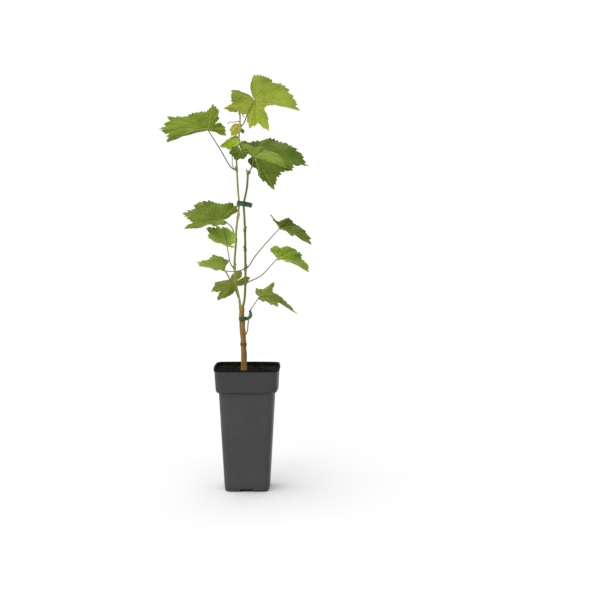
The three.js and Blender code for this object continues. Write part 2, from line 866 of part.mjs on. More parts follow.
for (const leaf of leaves) {
  place(`stalk_${leaf.name}`, stalkGeometry(leaf), finishes.stalk());
  place(`leaf_${leaf.name}`, bladeGeometry(leaf, 0), leaf.young ? finishes.young() : finishes.leaf());
}

place('tie_upper', tieGeometry(ties.upper), finishes.tie());
place('tie_lower', tieGeometry(ties.lower), finishes.tie());

export default grapevine;
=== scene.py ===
"""A young grapevine in a deep square nursery pot: the looks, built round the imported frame.

Data is in millimetres in the frame's own axes (+Z up, origin under the middle of the pot)
and becomes metres in Shell.piece(). Every visible piece is a mesh with a procedural material.
"""

import functools
import math

import bmesh
import bpy
import numpy as np
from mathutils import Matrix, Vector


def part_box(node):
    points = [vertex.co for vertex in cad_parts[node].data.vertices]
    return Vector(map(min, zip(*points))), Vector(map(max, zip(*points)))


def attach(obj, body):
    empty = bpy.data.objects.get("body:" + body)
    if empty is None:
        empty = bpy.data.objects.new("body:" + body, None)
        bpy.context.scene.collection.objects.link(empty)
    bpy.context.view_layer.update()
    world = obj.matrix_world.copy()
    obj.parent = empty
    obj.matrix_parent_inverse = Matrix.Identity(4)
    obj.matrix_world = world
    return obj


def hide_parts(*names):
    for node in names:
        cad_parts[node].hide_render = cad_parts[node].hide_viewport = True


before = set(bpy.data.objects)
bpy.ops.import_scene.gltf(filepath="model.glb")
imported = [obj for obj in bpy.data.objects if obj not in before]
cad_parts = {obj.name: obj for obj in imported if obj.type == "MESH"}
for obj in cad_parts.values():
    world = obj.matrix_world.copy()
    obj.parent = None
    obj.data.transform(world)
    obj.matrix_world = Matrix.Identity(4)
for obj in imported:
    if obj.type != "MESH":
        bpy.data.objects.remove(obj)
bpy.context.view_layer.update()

MM = 0.001
TURN = 2 * math.pi
CURVE_STEPS = 40             # points between two knots, before a curve is evened out
UV_UNIT = 100                # millimetres along a stem or a vein for each step of 1 in its UV map


def box_mm(node):
    """Lowest and highest corner of a CAD node, in millimetres."""
    low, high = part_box(node)
    return np.array(low) / MM, np.array(high) / MM


# ---------------------------------------------------------------- numbers and curves


def unit(vectors):
    """Vectors scaled to length 1."""
    size = np.linalg.norm(vectors, axis=-1, keepdims=True)
    return vectors / np.maximum(size, 1e-12)


def bump(distance, reach):
    """A smooth rise from 0 at `reach` away to 1 at the middle."""
    share = np.minimum(np.abs(distance) / reach, 1)
    return (1 - share**2) ** 2


def ripple(points, size, seed, waves=9):
    """Smooth noise of about -1 to 1 at each point, with features of about `size` mm."""
    rng = np.random.default_rng(seed)
    total = np.zeros(points.shape[:-1])
    for _ in range(waves):
        direction = unit(rng.normal(size=3))
        pitch = TURN / size * rng.uniform(0.6, 1.5)
        total += np.sin(points @ direction * pitch + rng.uniform(0, TURN))
    return total / math.sqrt(waves)


def curve_through(points, count):
    """A centripetal Catmull-Rom curve through points, as `count` evenly spaced points."""
    knots = np.array(points, float)
    first = 2 * knots[0] - knots[1]
    last = 2 * knots[-1] - knots[-2]
    knots = np.vstack([first, knots, last])
    dense = []
    for before, start, end, after in zip(knots, knots[1:], knots[2:], knots[3:]):
        gaps = [math.sqrt(np.linalg.norm(b - a)) for a, b in
                ((before, start), (start, end), (end, after))]
        out = ((start - before) / gaps[0] - (end - before) / (gaps[0] + gaps[1])
               + (end - start) / gaps[1]) * gaps[1]
        into = ((end - start) / gaps[1] - (after - start) / (gaps[1] + gaps[2])
                + (after - end) / gaps[2]) * gaps[1]
        share = np.linspace(0, 1, CURVE_STEPS, endpoint=False)[:, None]
        dense.append(
            start + out * share
            + (3 * (end - start) - 2 * out - into) * share**2
            + (2 * (start - end) + out + into) * share**3
        )
    dense.append(knots[-2:-1])
    return respaced(np.vstack(dense), count)


def runs_along(points):
    """How far along a line each of its points lies."""
    steps = np.linalg.norm(np.diff(points, axis=0), axis=1)
    return np.concatenate([[0], np.cumsum(steps)])


def respaced(points, count):
    """A line of points with even spacing."""
    run = runs_along(points)
    places = np.linspace(0, run[-1], count)
    return np.stack([np.interp(places, run, points[:, k]) for k in range(3)], 1)


def at_height(points, height):
    """The point of a rising line at a height."""
    return np.array([np.interp(height, points[:, 2], points[:, k]) for k in range(3)])


def circle(sides):
    """Evenly spaced points of a level circle of radius 1."""
    angle = np.arange(sides) / sides * TURN
    return np.stack([np.cos(angle), np.sin(angle), np.zeros(sides)], 1)


def carried_sides(centres):
    """Two directions square to a line at each of its points, carried along without twist."""
    ahead = unit(np.gradient(centres, axis=0))
    side = unit(np.cross(ahead[0], [0.31, -0.95, 0.02]))
    sides = []
    for direction in ahead:
        side = unit(side - direction * (side @ direction))
        sides.append(side)
    return np.array(sides), np.cross(ahead, sides)


# ---------------------------------------------------------------- mesh making


def wall_faces(rings, sides):
    """The four-sided faces between rings that each have `sides` points."""
    faces = []
    for ring in range(rings - 1):
        for k in range(sides):
            a, b = ring * sides + k, ring * sides + (k + 1) % sides
            faces.append((a, b, b + sides, a + sides))
    return faces


def cap_faces(rings, sides):
    """The fans that close such a wall, round two points that follow its rings."""
    start = rings * sides
    last = start - sides
    faces = []
    for k in range(sides):
        after = (k + 1) % sides
        faces += [(start, after, k), (start + 1, last + k, last + after)]
    return faces


def placed(name, data):
    """A new object, linked into the scene."""
    made = bpy.data.objects.new(name, data)
    bpy.context.scene.collection.objects.link(made)
    return made


class Shell:
    """Vertices, faces and the UV values of each face corner, gathered piece by piece."""

    def __init__(self, maps=("Surface",)):
        self.points, self.faces, self.slots = [], [], []
        self.maps = {name: [] for name in maps}
        self.sharp = []
        self.count = 0

    def add(self, points, faces, slots=None, **uvs):
        """Adds points, faces with their material slots, and a list of corner UVs for each map."""
        self.points.append(np.asarray(points, float))
        self.faces.extend([tuple(int(i) + self.count for i in face) for face in faces])
        self.slots.extend(slots or [0] * len(faces))
        for name, values in self.maps.items():
            values.extend(uvs.get(name) or [(0.0, 0.0)] * sum(map(len, faces)))
        self.count += len(points)

    def add_tube(self, centres, radii):
        """A closed tube: radii has one row for each centre and one column for each side."""
        rings, sides = radii.shape
        first, second = carried_sides(centres)
        around = circle(sides)
        outward = first[:, None] * around[:, :1] + second[:, None] * around[:, 1:2]
        points = (centres[:, None] + outward * radii[:, :, None]).reshape(-1, 3)
        run = runs_along(centres) / UV_UNIT
        uvs = []
        for low, high in zip(run, run[1:]):
            for k in range(sides):
                left, right = k / sides, (k + 1) / sides
                uvs += [(low, left), (low, right), (high, right), (high, left)]
        for k in range(sides):
            uvs += [(0, k / sides)] * 3 + [(run[-1], k / sides)] * 3
        faces = wall_faces(rings, sides) + cap_faces(rings, sides)
        self.add(np.vstack([points, centres[[0, -1]]]), faces, Surface=uvs)

    def add_lump(self, centre, size, seed, rough, squash, detail=1):
        """A small closed lump with an uneven surface."""
        points, faces = ball(detail)
        rng = np.random.default_rng(seed)
        uneven = 1 + rough * ripple(points + rng.uniform(0, 9, 3), 1.6, seed, 5)
        scaled = points * uneven[:, None] * np.array(squash) * size
        self.add(scaled @ random_turn(rng).T + centre, faces)

    def piece(self, name, materials, smooth=True):
        """The gathered mesh as a Blender object that rides on the root body."""
        mesh = bpy.data.meshes.new(name)
        mesh.from_pydata((np.vstack(self.points) * MM).tolist(), [], self.faces)
        for map_name, values in self.maps.items():
            layer = mesh.uv_layers.new(name=map_name)
            layer.data.foreach_set("uv", np.array(values, np.float32).ravel())
        mesh.polygons.foreach_set("material_index", self.slots)
        mesh.polygons.foreach_set("use_smooth", [smooth] * len(mesh.polygons))
        for material in materials:
            mesh.materials.append(material)
        mesh.update()
        if self.sharp:
            mark_sharp(mesh, set(self.sharp))
        made = placed(name, mesh)
        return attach(made, "root")


def mark_sharp(mesh, rim):
    """Keeps the shading crisp along the edges that join two vertices of a rim."""
    ends = np.zeros(len(mesh.edges) * 2, int)
    mesh.edges.foreach_get("vertices", ends)
    ends = ends.reshape(-1, 2)
    on_rim = np.isin(ends, list(rim)).all(1)
    mesh.edges.foreach_set("use_edge_sharp", on_rim)


@functools.cache
def ball(detail):
    """Points and triangles of a subdivided icosahedron of radius 1."""
    mesh = bpy.data.meshes.new("ball")
    shape = bmesh.new()
    bmesh.ops.create_icosphere(shape, subdivisions=detail, radius=1)
    shape.to_mesh(mesh)
    shape.free()
    points = np.array([vertex.co for vertex in mesh.vertices])
    faces = [tuple(polygon.vertices) for polygon in mesh.polygons]
    bpy.data.meshes.remove(mesh)
    return points, faces


def random_turn(rng):
    """A random rotation matrix."""
    turned, _ = np.linalg.qr(rng.normal(size=(3, 3)))
    return turned * np.sign(np.linalg.det(turned))


# ---------------------------------------------------------------- materials


def colour(tone):
    """A tone of 0 to 255 display values, as a shader's colour. A socket stays as it is."""
    if isinstance(tone, bpy.types.NodeSocket):
        return tone
    linear = []
    for value in tone:
        share = value / 255
        linear.append(share / 12.92 if share <= 0.04045 else ((share + 0.055) / 1.055) ** 2.4)
    return (*linear, 1.0)


def toned(tone, share, other):
    """A tone moved part of the way to another."""
    return tuple(a + (b - a) * share for a, b in zip(tone, other))


class Shader:
    """The nodes of a material or a world. Each value given is a socket or a constant."""

    def __init__(self, owner):
        self.owner = owner
        owner.use_nodes = True
        self.tree = owner.node_tree
        self.tree.nodes.clear()
        self.places = self.node("TexCoord").outputs
        self.object = self.places["Object"]

    def node(self, kind, inputs=None, **settings):
        made = self.tree.nodes.new("ShaderNode" + kind)
        for key, value in settings.items():
            setattr(made, key, value)
        for key, value in (inputs or {}).items():
            self.feed(made.inputs[key], value)
        return made

    def feed(self, socket, value):
        if isinstance(value, bpy.types.NodeSocket):
            self.tree.links.new(value, socket)
        else:
            socket.default_value = value

    def math(self, operation, *values):
        inputs = dict(enumerate(values))
        return self.node("Math", inputs, operation=operation).outputs[0]

    def times(self, first, second):
        return self.math("MULTIPLY", first, second)

    def band(self, value, start, end, low=0.0, high=1.0):
        """A smooth step of value from low at start to high at end."""
        inputs = {"Value": value, "From Min": start, "From Max": end,
                  "To Min": low, "To Max": high}
        return self.node("MapRange", inputs, interpolation_type="SMOOTHSTEP").outputs[0]

    def mix(self, share, first, second):
        inputs = {0: share, 6: colour(first), 7: colour(second)}
        return self.node("Mix", inputs, data_type="RGBA").outputs[2]

    def uv(self, name):
        """The two values of a UV map."""
        found = self.node("UVMap", uv_map=name).outputs[0]
        split = self.node("SeparateXYZ", {0: found})
        return split.outputs[0], split.outputs[1]

    def height(self):
        """Height above the floor, in metres."""
        return self.node("SeparateXYZ", {0: self.object}).outputs[2]

    def stretched(self, scale):
        """Object coordinates scaled along each axis."""
        return self.node("Mapping", {"Vector": self.object, "Scale": scale}).outputs[0]

    def noise(self, scale, detail, vector=None, roughness=0.5):
        inputs = {"Vector": vector or self.object, "Scale": scale, "Detail": detail,
                  "Roughness": roughness}
        return self.node("TexNoise", inputs).outputs[0]

    def relief(self, height, strength, distance, under=None):
        """A bump of `distance` metres, on top of another one."""
        inputs = {"Height": height, "Strength": strength, "Distance": distance}
        if under is not None:
            inputs["Normal"] = under
        return self.node("Bump", inputs).outputs[0]

    def finish(self, base, roughness, specular, normal=None, through=0.0, glow=None):
        """The surface: `through` is the share of light that passes, tinted `glow`."""
        inputs = {"Base Color": base, "Roughness": roughness, "Specular IOR Level": specular}
        if normal is not None:
            inputs["Normal"] = normal
        surface = self.node("BsdfPrincipled", inputs).outputs[0]
        if through:
            passing = self.node("BsdfTranslucent", {"Color": colour(glow)}).outputs[0]
            surface = self.node("MixShader", {0: through, 1: surface, 2: passing}).outputs[0]
        self.node("OutputMaterial", {"Surface": surface})
        return self.owner


def leaf_material(name, tone, under, patch=None):
    """One face of a leaf: pale main veins, finer side veins, soft patches and a dull sheen.

    A patch gives the part of the fan between two places another tone: painted shade on one leaf, a
    painted glow on another, a greener base on the bract.
    """
    look = Shader(bpy.data.materials.new(name))
    along, signed = look.uv("Veins")
    out, fan = look.uv("Blade")
    across = look.math("ABSOLUTE", signed)
    thinning = (VEIN_HALF_AT_EDGE - VEIN_HALF_AT_JOINT) / UV_UNIT
    vein_half = look.math("MULTIPLY_ADD", out, thinning, VEIN_HALF_AT_JOINT / UV_UNIT)
    main = look.band(look.math("DIVIDE", across, vein_half), 1.3, 0.5)
    wobble = look.times(look.noise(60, 2), 0.05)
    lean = look.math("MULTIPLY_ADD", across, -SIDE_VEIN_LEAN, look.math("ADD", along, wobble))
    phase = look.math("FRACT", look.math("DIVIDE", lean, SIDE_VEIN_GAP / UV_UNIT))
    ridge = look.math("ABSOLUTE", look.math("MULTIPLY_ADD", phase, 2.0, -1.0))
    side = look.times(look.band(ridge, 0.86, 0.97), look.band(out, 1.0, 0.75, 0.35, 1.0))
    net = look.node("TexVoronoi", {"Scale": 420.0}, feature="DISTANCE_TO_EDGE").outputs[0]
    mesh_lines = look.band(net, 0.09, 0.02)
    veins = look.math("MAXIMUM", main, look.times(side, 0.55))
    pale = toned(tone, 0.52 if under else 0.46, (208, 216, 138))
    dark = toned(tone, 0.36, (44, 66, 18))
    light = toned(tone, 0.26, (190, 204, 92))
    patches = look.mix(look.band(look.noise(38, 4), 0.34, 0.68), dark, light)
    ground = look.mix(0.5, tone, patches)
    # the patch tone, which on some leaves is painted shade and on others a painted glow
    if patch:
        start, end, other = patch
        after = look.band(fan, fan_share(start - PATCH_BLUR), fan_share(start + PATCH_BLUR))
        before = look.band(fan, fan_share(end + PATCH_BLUR), fan_share(end - PATCH_BLUR))
        inside = look.times(look.times(after, before), 0.8)
        ground = look.mix(inside, ground, other)
    speckled = look.mix(look.times(mesh_lines, 0.16), ground, pale)
    rim = look.mix(look.band(out, 0.955, 1.0, 0.0, 0.5), speckled, light)
    base = look.mix(look.times(veins, 0.85), rim, pale)
    grain = look.relief(look.noise(900, 2), 0.25, 0.0004)
    height = look.times(veins, 1.0 if under else -1.0)
    normal = look.relief(height, 0.55, 0.0006, grain)
    rough = look.band(look.noise(120, 3), 0.3, 0.7, 0.42, 0.56)
    glow = toned(tone, 0.35, (178, 204, 40))
    return look.finish(base, rough, 0.04 if under else 0.06, normal, 0.3, glow)


def fan_share(place):
    """Where a place of the fan, from -1 to 5, lies in the UV map."""
    return (place + 1) / (LAST_VEIN + 2)


def stalk_material(name, tone, blush):
    """A leaf stalk: green with fine lengthwise ribs and reddish streaks."""
    look = Shader(bpy.data.materials.new(name))
    run, around = look.uv("Surface")
    ribs = look.math("SINE", look.times(around, TURN * 7))
    streak = look.noise(14, 3, look.stretched((60, 60, 6)))
    base = look.mix(look.band(streak, 0.4, 0.75), tone, blush)
    shaded = look.mix(look.band(ribs, -1, 1, 0.0, 0.25), base, toned(tone, 0.5, (60, 62, 24)))
    normal = look.relief(ribs, 0.3, 0.0002)
    return look.finish(shaded, 0.55, 0.1, normal)


def shoot_material(name, tone, second, blush):
    """A green shoot: fine ribs, long patches of two tones, reddish streaks, a paler tip."""
    look = Shader(bpy.data.materials.new(name))
    _, around = look.uv("Surface")
    ribs = look.math("SINE", look.times(around, TURN * 11))
    streak = look.noise(20, 3, look.stretched((30, 30, 1.2)))
    patch = look.noise(16, 3, look.stretched((4, 4, 1)))
    base = look.mix(look.band(patch, 0.35, 0.65), tone, second)
    flushed = look.mix(look.band(streak, 0.5, 0.72, 0.0, 0.7), base, blush)
    dark = toned(tone, 0.55, (70, 66, 24))
    ribbed = look.mix(look.band(ribs, 0.2, 1, 0.0, 0.3), flushed, dark)
    height = look.height()
    young = look.band(height, YOUNG_FROM * MM, YOUNG_TO * MM, 0.0, 0.75)
    tipped = look.mix(young, ribbed, (158, 168, 72))
    normal = look.relief(ribs, 0.35, 0.0003, look.relief(look.noise(400, 2), 0.2, 0.0003))
    return look.finish(tipped, 0.55, 0.12, normal)


def bark_material():
    """Young vine wood: grey-brown papery strips over a warmer layer."""
    look = Shader(bpy.data.materials.new("Bark"))
    strips = look.noise(9, 5, look.stretched((70, 70, 5)), 0.6)
    flecks = look.noise(60, 4, look.stretched((12, 12, 1.5)))
    warm = look.mix(look.band(strips, 0.32, 0.62), (84, 60, 26), (138, 108, 54))
    grey = look.mix(look.band(flecks, 0.5, 0.72, 0.0, 0.6), warm, (148, 126, 80))
    dark = look.mix(look.band(look.noise(28, 3), 0.6, 0.8, 0.0, 0.6), grey, (50, 34, 14))
    height = look.height()
    green = look.band(height, (FORK - 12) * MM, (FORK - 5) * MM)
    base = look.mix(green, dark, (120, 122, 50))
    node = look.band(look.math("ABSOLUTE", look.math("SUBTRACT", height, TRUNK_NODE * MM)), 0.004, 0.001)
    ringed = look.mix(look.times(node, 0.6), base, (52, 34, 16))
    normal = look.relief(strips, 0.8, 0.0012, look.relief(flecks, 0.4, 0.0005))
    return look.finish(ringed, 0.82, 0.1, normal)


def pot_material():
    """Dark grey moulded plastic with a fine grain and pale scuffs, darker on the collar."""
    look = Shader(bpy.data.materials.new("Pot_plastic"))
    grain = look.noise(1500, 2)
    cloud = look.noise(16, 4)
    scuffs = look.noise(22, 5, look.stretched((1, 1, 9)), 0.65)
    base = look.mix(look.band(cloud, 0.35, 0.7), (42, 42, 42), (48, 48, 47))
    height = look.height()
    collar = look.band(height, LEDGE_BOTTOM * MM, LEDGE_TOP * MM, 0.0, 0.7)
    deep = look.mix(collar, base, (30, 30, 31))
    rubbed = look.mix(look.band(scuffs, 0.62, 0.8, 0.0, 0.3), deep, (62, 61, 59))
    normal = look.relief(grain, 0.25, 0.0003, look.relief(cloud, 0.15, 0.002))
    rough = look.band(look.noise(70, 4), 0.3, 0.7, 0.46, 0.58)
    return look.finish(rubbed, rough, 0.5, normal)


def rim_and_inside_shade_material():
    """The rim and the inside of the pot: the same plastic, painted near black as painted shade, and
    dull.
    """
    look = Shader(bpy.data.materials.new("Pot_inside"))
    # painted shade: the rim bead and the inside walls are painted near black, mottled a little
    shade_mottle = look.band(look.noise(90, 4), 0.5, 0.75)
    base = look.mix(shade_mottle, (13, 13, 12), (26, 24, 19))
    return look.finish(base, 0.7, 0.04, look.relief(look.noise(1500, 2), 0.3, 0.0003))


def soil_material():
    """Dark fibrous potting mix with paler crumbs."""
    look = Shader(bpy.data.materials.new("Potting_mix"))
    crumbs = look.noise(260, 5, roughness=0.7)
    patch = look.noise(60, 3)
    base = look.mix(look.band(crumbs, 0.38, 0.66), (14, 10, 7), (46, 35, 25))
    mixed = look.mix(look.band(patch, 0.6, 0.8, 0.0, 0.4), base, (74, 52, 32))
    return look.finish(mixed, 0.95, 0.05, look.relief(crumbs, 0.9, 0.0012))


def tie_material():
    """Soft green plastic tape with fine cross ribs."""
    look = Shader(bpy.data.materials.new("Plant_tie"))
    height = look.height()
    ribs = look.math("SINE", look.times(height, TURN / (TAPE_RIB_GAP * MM)))
    base = look.mix(look.band(look.noise(140, 3), 0.35, 0.7), (38, 66, 44), (62, 94, 66))
    worn = look.mix(look.band(ribs, 0.5, 1, 0.0, 0.3), base, (96, 124, 98))
    return look.finish(worn, 0.5, 0.12, look.relief(ribs, 0.4, 0.0004))


# ---------------------------------------------------------------- pot and potting mix

POT_HEIGHT = 208
RIM_HALF = 56
BEAD_HEIGHT = 3.5
COLLAR_TOP_HALF = 55
COLLAR_BOTTOM_HALF = 53
LEDGE_TOP = 170
LEDGE_BOTTOM = 168
BODY_TOP_HALF = 48
BODY_BOTTOM_HALF = 38.4
WALL = 1.6
FLOOR_THICK = 7
CORNER = 0.26                # corner radius, as a share of the half width, up to the ledge
RIM_CORNER = 0.17            # and at the rim
BOW = 0.035                  # how far each side bows out, as a share of the half width
SOIL_TOP = 196
SOIL_RISE = 6                # how much higher the potting mix stands at the walls
DRAIN_WIDTH, DRAIN_HEIGHT, DRAIN_DEPTH = 23, 5, 13
DRAIN_STRAIGHT = 2           # height of a recess's straight sides
DRAIN_SHOULDER = 3           # width of the arc above each of them
DRAIN_HOLE = 4.5             # radius
SEAM = 0.5                   # gap between the potting mix and the wall
CORNER_STEPS = 14
SIDE_STEPS = 12
ROUNDING_STEPS = 4
ROUNDING_ROOM = 2.2          # an arc takes at most the length beside it over this
CRUMBS = 1700
CRUMB_SIZES = [0.7, 1.0, 1.5, 2.2]
CRUMB_SHARES = [0.4, 0.33, 0.2, 0.07]


def body_half(height):
    """Half width of the tapered body at a height below the ledge."""
    return BODY_BOTTOM_HALF + (BODY_TOP_HALF - BODY_BOTTOM_HALF) * height / LEDGE_BOTTOM


def collar_half(height):
    """Half width of the collar at a height above the ledge."""
    share = (height - LEDGE_TOP) / (POT_HEIGHT - LEDGE_TOP)
    return COLLAR_BOTTOM_HALF + (COLLAR_TOP_HALF - COLLAR_BOTTOM_HALF) * share


def square_outline(half, height):
    """Points round a square of that half width with rounded corners and bowed sides."""
    bow = BOW * half
    radius = half * np.interp(height, [LEDGE_TOP, POT_HEIGHT], [CORNER, RIM_CORNER])
    flat = half - bow - radius
    points = []
    for quarter in range(4):
        middle = (quarter + 0.5) * TURN / 4
        centre = flat * math.sqrt(2) * np.array([math.cos(middle), math.sin(middle)])
        angles = (quarter + np.arange(CORNER_STEPS + 1) / CORNER_STEPS) * TURN / 4
        arc = centre + radius * np.stack([np.cos(angles), np.sin(angles)], 1)
        end = (quarter + 1) * TURN / 4
        outward = np.array([math.cos(end), math.sin(end)])
        along = np.array([-math.sin(end), math.cos(end)])
        share = np.arange(1, SIDE_STEPS)[:, None] / SIDE_STEPS
        swell = bow * (1 - (2 * share - 1) ** 2)
        points.append(np.vstack([arc, arc[-1] + along * 2 * flat * share + outward * swell]))
    return np.vstack(points)


def squareness(spot):
    """How far out a spot lies, as the half width of the rounded square through it."""
    return float(np.sum(np.abs(spot) ** 6) ** (1 / 6))


def rounded_profile(corners):
    """A profile of [half width, height, rounding] with each corner turned into an arc."""
    done = []
    for i, (half, height, rounding) in enumerate(corners):
        here = np.array([half, height], float)
        if rounding == 0 or i in (0, len(corners) - 1):
            done.append(here)
            continue
        before = np.array(corners[i - 1][:2], float) - here
        after = np.array(corners[i + 1][:2], float) - here
        start = here + unit(before) * min(rounding, np.linalg.norm(before) / ROUNDING_ROOM)
        end = here + unit(after) * min(rounding, np.linalg.norm(after) / ROUNDING_ROOM)
        for share in np.linspace(0, 1, ROUNDING_STEPS):
            done.append(start * (1 - share) ** 2 + 2 * here * share * (1 - share)
                        + end * share**2)
    return done


def squared(shell, profile):
    """Turns a profile round the square and closes it on its axis."""
    rings = [np.insert(square_outline(half, height), 2, height, 1) for half, height in profile[1:-1]]
    poles = [(0, 0, profile[0][1]), (0, 0, profile[-1][1])]
    count, columns = len(rings), len(rings[0])
    faces = wall_faces(count, columns) + cap_faces(count, columns)
    shell.add(np.vstack([*rings, poles]), faces)


def drain_cutters():
    """An arched recess across each side of the foot, with a drain hole in its roof."""
    shell = Shell()
    half = DRAIN_WIDTH / 2
    arch = [(-half, -1.0)]
    for angle in np.linspace(0, math.pi / 2, 7):
        rise = (DRAIN_HEIGHT - DRAIN_STRAIGHT) * math.sin(angle)
        arch.append((-half + DRAIN_SHOULDER * (1 - math.cos(angle)), DRAIN_STRAIGHT + rise))
    arch += [(-x, z) for x, z in reversed(arch)]
    n = len(arch)
    near, far = -BODY_BOTTOM_HALF - 2, -BODY_BOTTOM_HALF + DRAIN_DEPTH
    for side in range(4):
        cos, sin = round(math.cos(side * TURN / 4)), round(math.sin(side * TURN / 4))
        turn = np.array([[cos, -sin, 0], [sin, cos, 0], [0, 0, 1]])
        points = [(x, y, z) for y in (near, far) for x, z in arch]
        faces = [tuple(reversed(range(n))), tuple(range(n, 2 * n)), *wall_faces(2, n)]
        shell.add(np.array(points) @ turn.T, faces)
        hole = (0, far - DRAIN_HOLE - 2)
        line = np.array([(*hole, DRAIN_HEIGHT - 1.5), (*hole, FLOOR_THICK + 3)]) @ turn.T
        shell.add_tube(line, np.full((2, 32), DRAIN_HOLE))
    return shell


def cut_with(piece, cutters):
    """Takes the cutters out of a piece's mesh."""
    tool_mesh = bpy.data.meshes.new("cutters")
    tool_mesh.from_pydata((np.vstack(cutters.points) * MM).tolist(), [], cutters.faces)
    tool = placed("cutters", tool_mesh)
    cut = piece.modifiers.new("drains", "BOOLEAN")
    cut.operation = "DIFFERENCE"
    cut.solver = "EXACT"
    cut.use_self = True
    cut.object = tool
    graph = bpy.context.evaluated_depsgraph_get()
    done = bpy.data.meshes.new_from_object(piece.evaluated_get(graph))
    piece.modifiers.clear()
    piece.data = done
    bpy.data.objects.remove(tool)


def make_pot():
    """The pot: a tapered body, a ledge, a straight collar and a beaded rim."""
    shell = Shell()
    bead_foot = POT_HEIGHT - BEAD_HEIGHT
    inside_top = COLLAR_TOP_HALF - WALL
    profile = rounded_profile([
        (0, 0, 0),
        (BODY_BOTTOM_HALF - 6, 0, 0.5),
        (body_half(0) - 0.4, 0.2, 3.2),
        (body_half(12), 12, 0),
        (body_half(LEDGE_BOTTOM) - 0.3, LEDGE_BOTTOM - 1.5, 1.5),
        (COLLAR_BOTTOM_HALF - 1.2, LEDGE_TOP - 1.2, 1.2),
        (COLLAR_BOTTOM_HALF, LEDGE_TOP + 0.8, 1.2),
        (collar_half(bead_foot), bead_foot, 0.5),
        (RIM_HALF, bead_foot + 0.6, 0.9),
        (RIM_HALF, POT_HEIGHT - 0.1, 1.4),
        (inside_top, POT_HEIGHT, 1.2),
        (COLLAR_BOTTOM_HALF - WALL, LEDGE_TOP + WALL, 1.5),
        (body_half(LEDGE_BOTTOM) - WALL, LEDGE_BOTTOM + WALL, 1.5),
        (body_half(FLOOR_THICK) - WALL, FLOOR_THICK, 1.0),
        (0, FLOOR_THICK, 0),
    ])
    squared(shell, profile)
    made = shell.piece("pot_shell", [pot_material(), rim_and_inside_shade_material()])
    cut_with(made, drain_cutters())
    crisp(made, 38)
    # the rim bead and the inside walls get the painted shade material
    paint_inside_shade(made)
    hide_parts("pot")


def paint_inside_shade(piece):
    """Gives the bead of the rim and the faces inside the pot the second material, the painted shade."""
    foot = (POT_HEIGHT - BEAD_HEIGHT + 0.3) * MM
    for face in piece.data.polygons:
        inward = face.normal.x * face.center.x + face.normal.y * face.center.y < 0
        above_floor = face.center.z > FLOOR_THICK * 0.9 * MM
        if face.center.z > foot or (inward and above_floor):
            face.material_index = 1


def crisp(piece, degrees):
    """Smooth faces with sharp edges where they meet at more than an angle."""
    shape = bmesh.new()
    shape.from_mesh(piece.data)
    for face in shape.faces:
        face.smooth = True
    limit = math.radians(degrees)
    for edge in shape.edges:
        edge.smooth = len(edge.link_faces) == 2 and edge.calc_face_angle(math.pi) < limit
    shape.to_mesh(piece.data)
    shape.free()


def soil_height(out):
    """Height of the potting mix at a share of the way from the middle to the wall."""
    return SOIL_TOP + SOIL_RISE * out**3


def make_soil():
    """The potting mix: an uneven surface strewn with crumbs and chips."""
    low, _ = box_mm("potting_mix")
    inset = WALL + SEAM
    shell = Shell()
    profile = [
        (0, low[2]),
        (body_half(FLOOR_THICK) - inset, low[2]),
        (body_half(LEDGE_BOTTOM) - inset, LEDGE_BOTTOM + inset),
        (COLLAR_BOTTOM_HALF - inset, LEDGE_TOP + inset),
        (collar_half(SOIL_TOP) - inset, soil_height(1) - 1.5),
    ]
    rim = collar_half(SOIL_TOP) - inset
    for share in np.linspace(0.02, 0.96, 34):
        profile.append((rim * (1 - share), soil_height(1 - share) - 1))
    profile += [(0, SOIL_TOP - 1)]
    squared(shell, profile)
    points = shell.points[0]
    top = points[:, 2] > SOIL_TOP - 1.2
    uneven = 1.3 * ripple(points, 22, 3) + 0.6 * ripple(points, 6, 4)
    points[top, 2] += np.clip(uneven[top], -2.5, 1.0)
    rng = np.random.default_rng(11)
    for k in range(CRUMBS):
        spot = rng.uniform(2 - rim, rim - 2, 2)
        out = squareness(spot) / rim
        size = rng.choice(CRUMB_SIZES, p=CRUMB_SHARES)
        height = soil_height(out) - 0.9 + rng.uniform(-0.8, 0.7)
        long = rng.uniform(0.6, 1.6)
        if out < 0.97:
            shell.add_lump((*spot, height), size, 100 + k, 0.3, (long, 1 / long, 0.8))
    made = shell.piece("potting_mix_crumbs", [soil_material()], smooth=False)
    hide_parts("potting_mix")


# ---------------------------------------------------------------- trunk and shoots

TRUNK = [(-5, 0, 195.5), (-5.5, 0, 220), (-6, 0, 245), (-8, 0, 280), (-9.3, 0, 311)]
TRUNK_NODE = 245
FORK = 311
TRUNK_RADIUS = 5             # at the soil, 1 mm more than at the fork
TRUNK_SIDES, TRUNK_STEPS = 90, 260
ROOT_FLARE, FLARE_REACH = 0.7, 6
NODE_SWELL, NODE_REACH = 0.8, 5
FORK_SWELL, FORK_REACH = 0.9, 14
SHOOT_SIDES, SHOOT_STEPS = 36, 420
SHOOT_RIBS = 9
BUD_STEPS, BUD_SIDES = 14, 14
YOUNG_FROM, YOUNG_TO = 500, 600        # heights between which the shoots turn pale

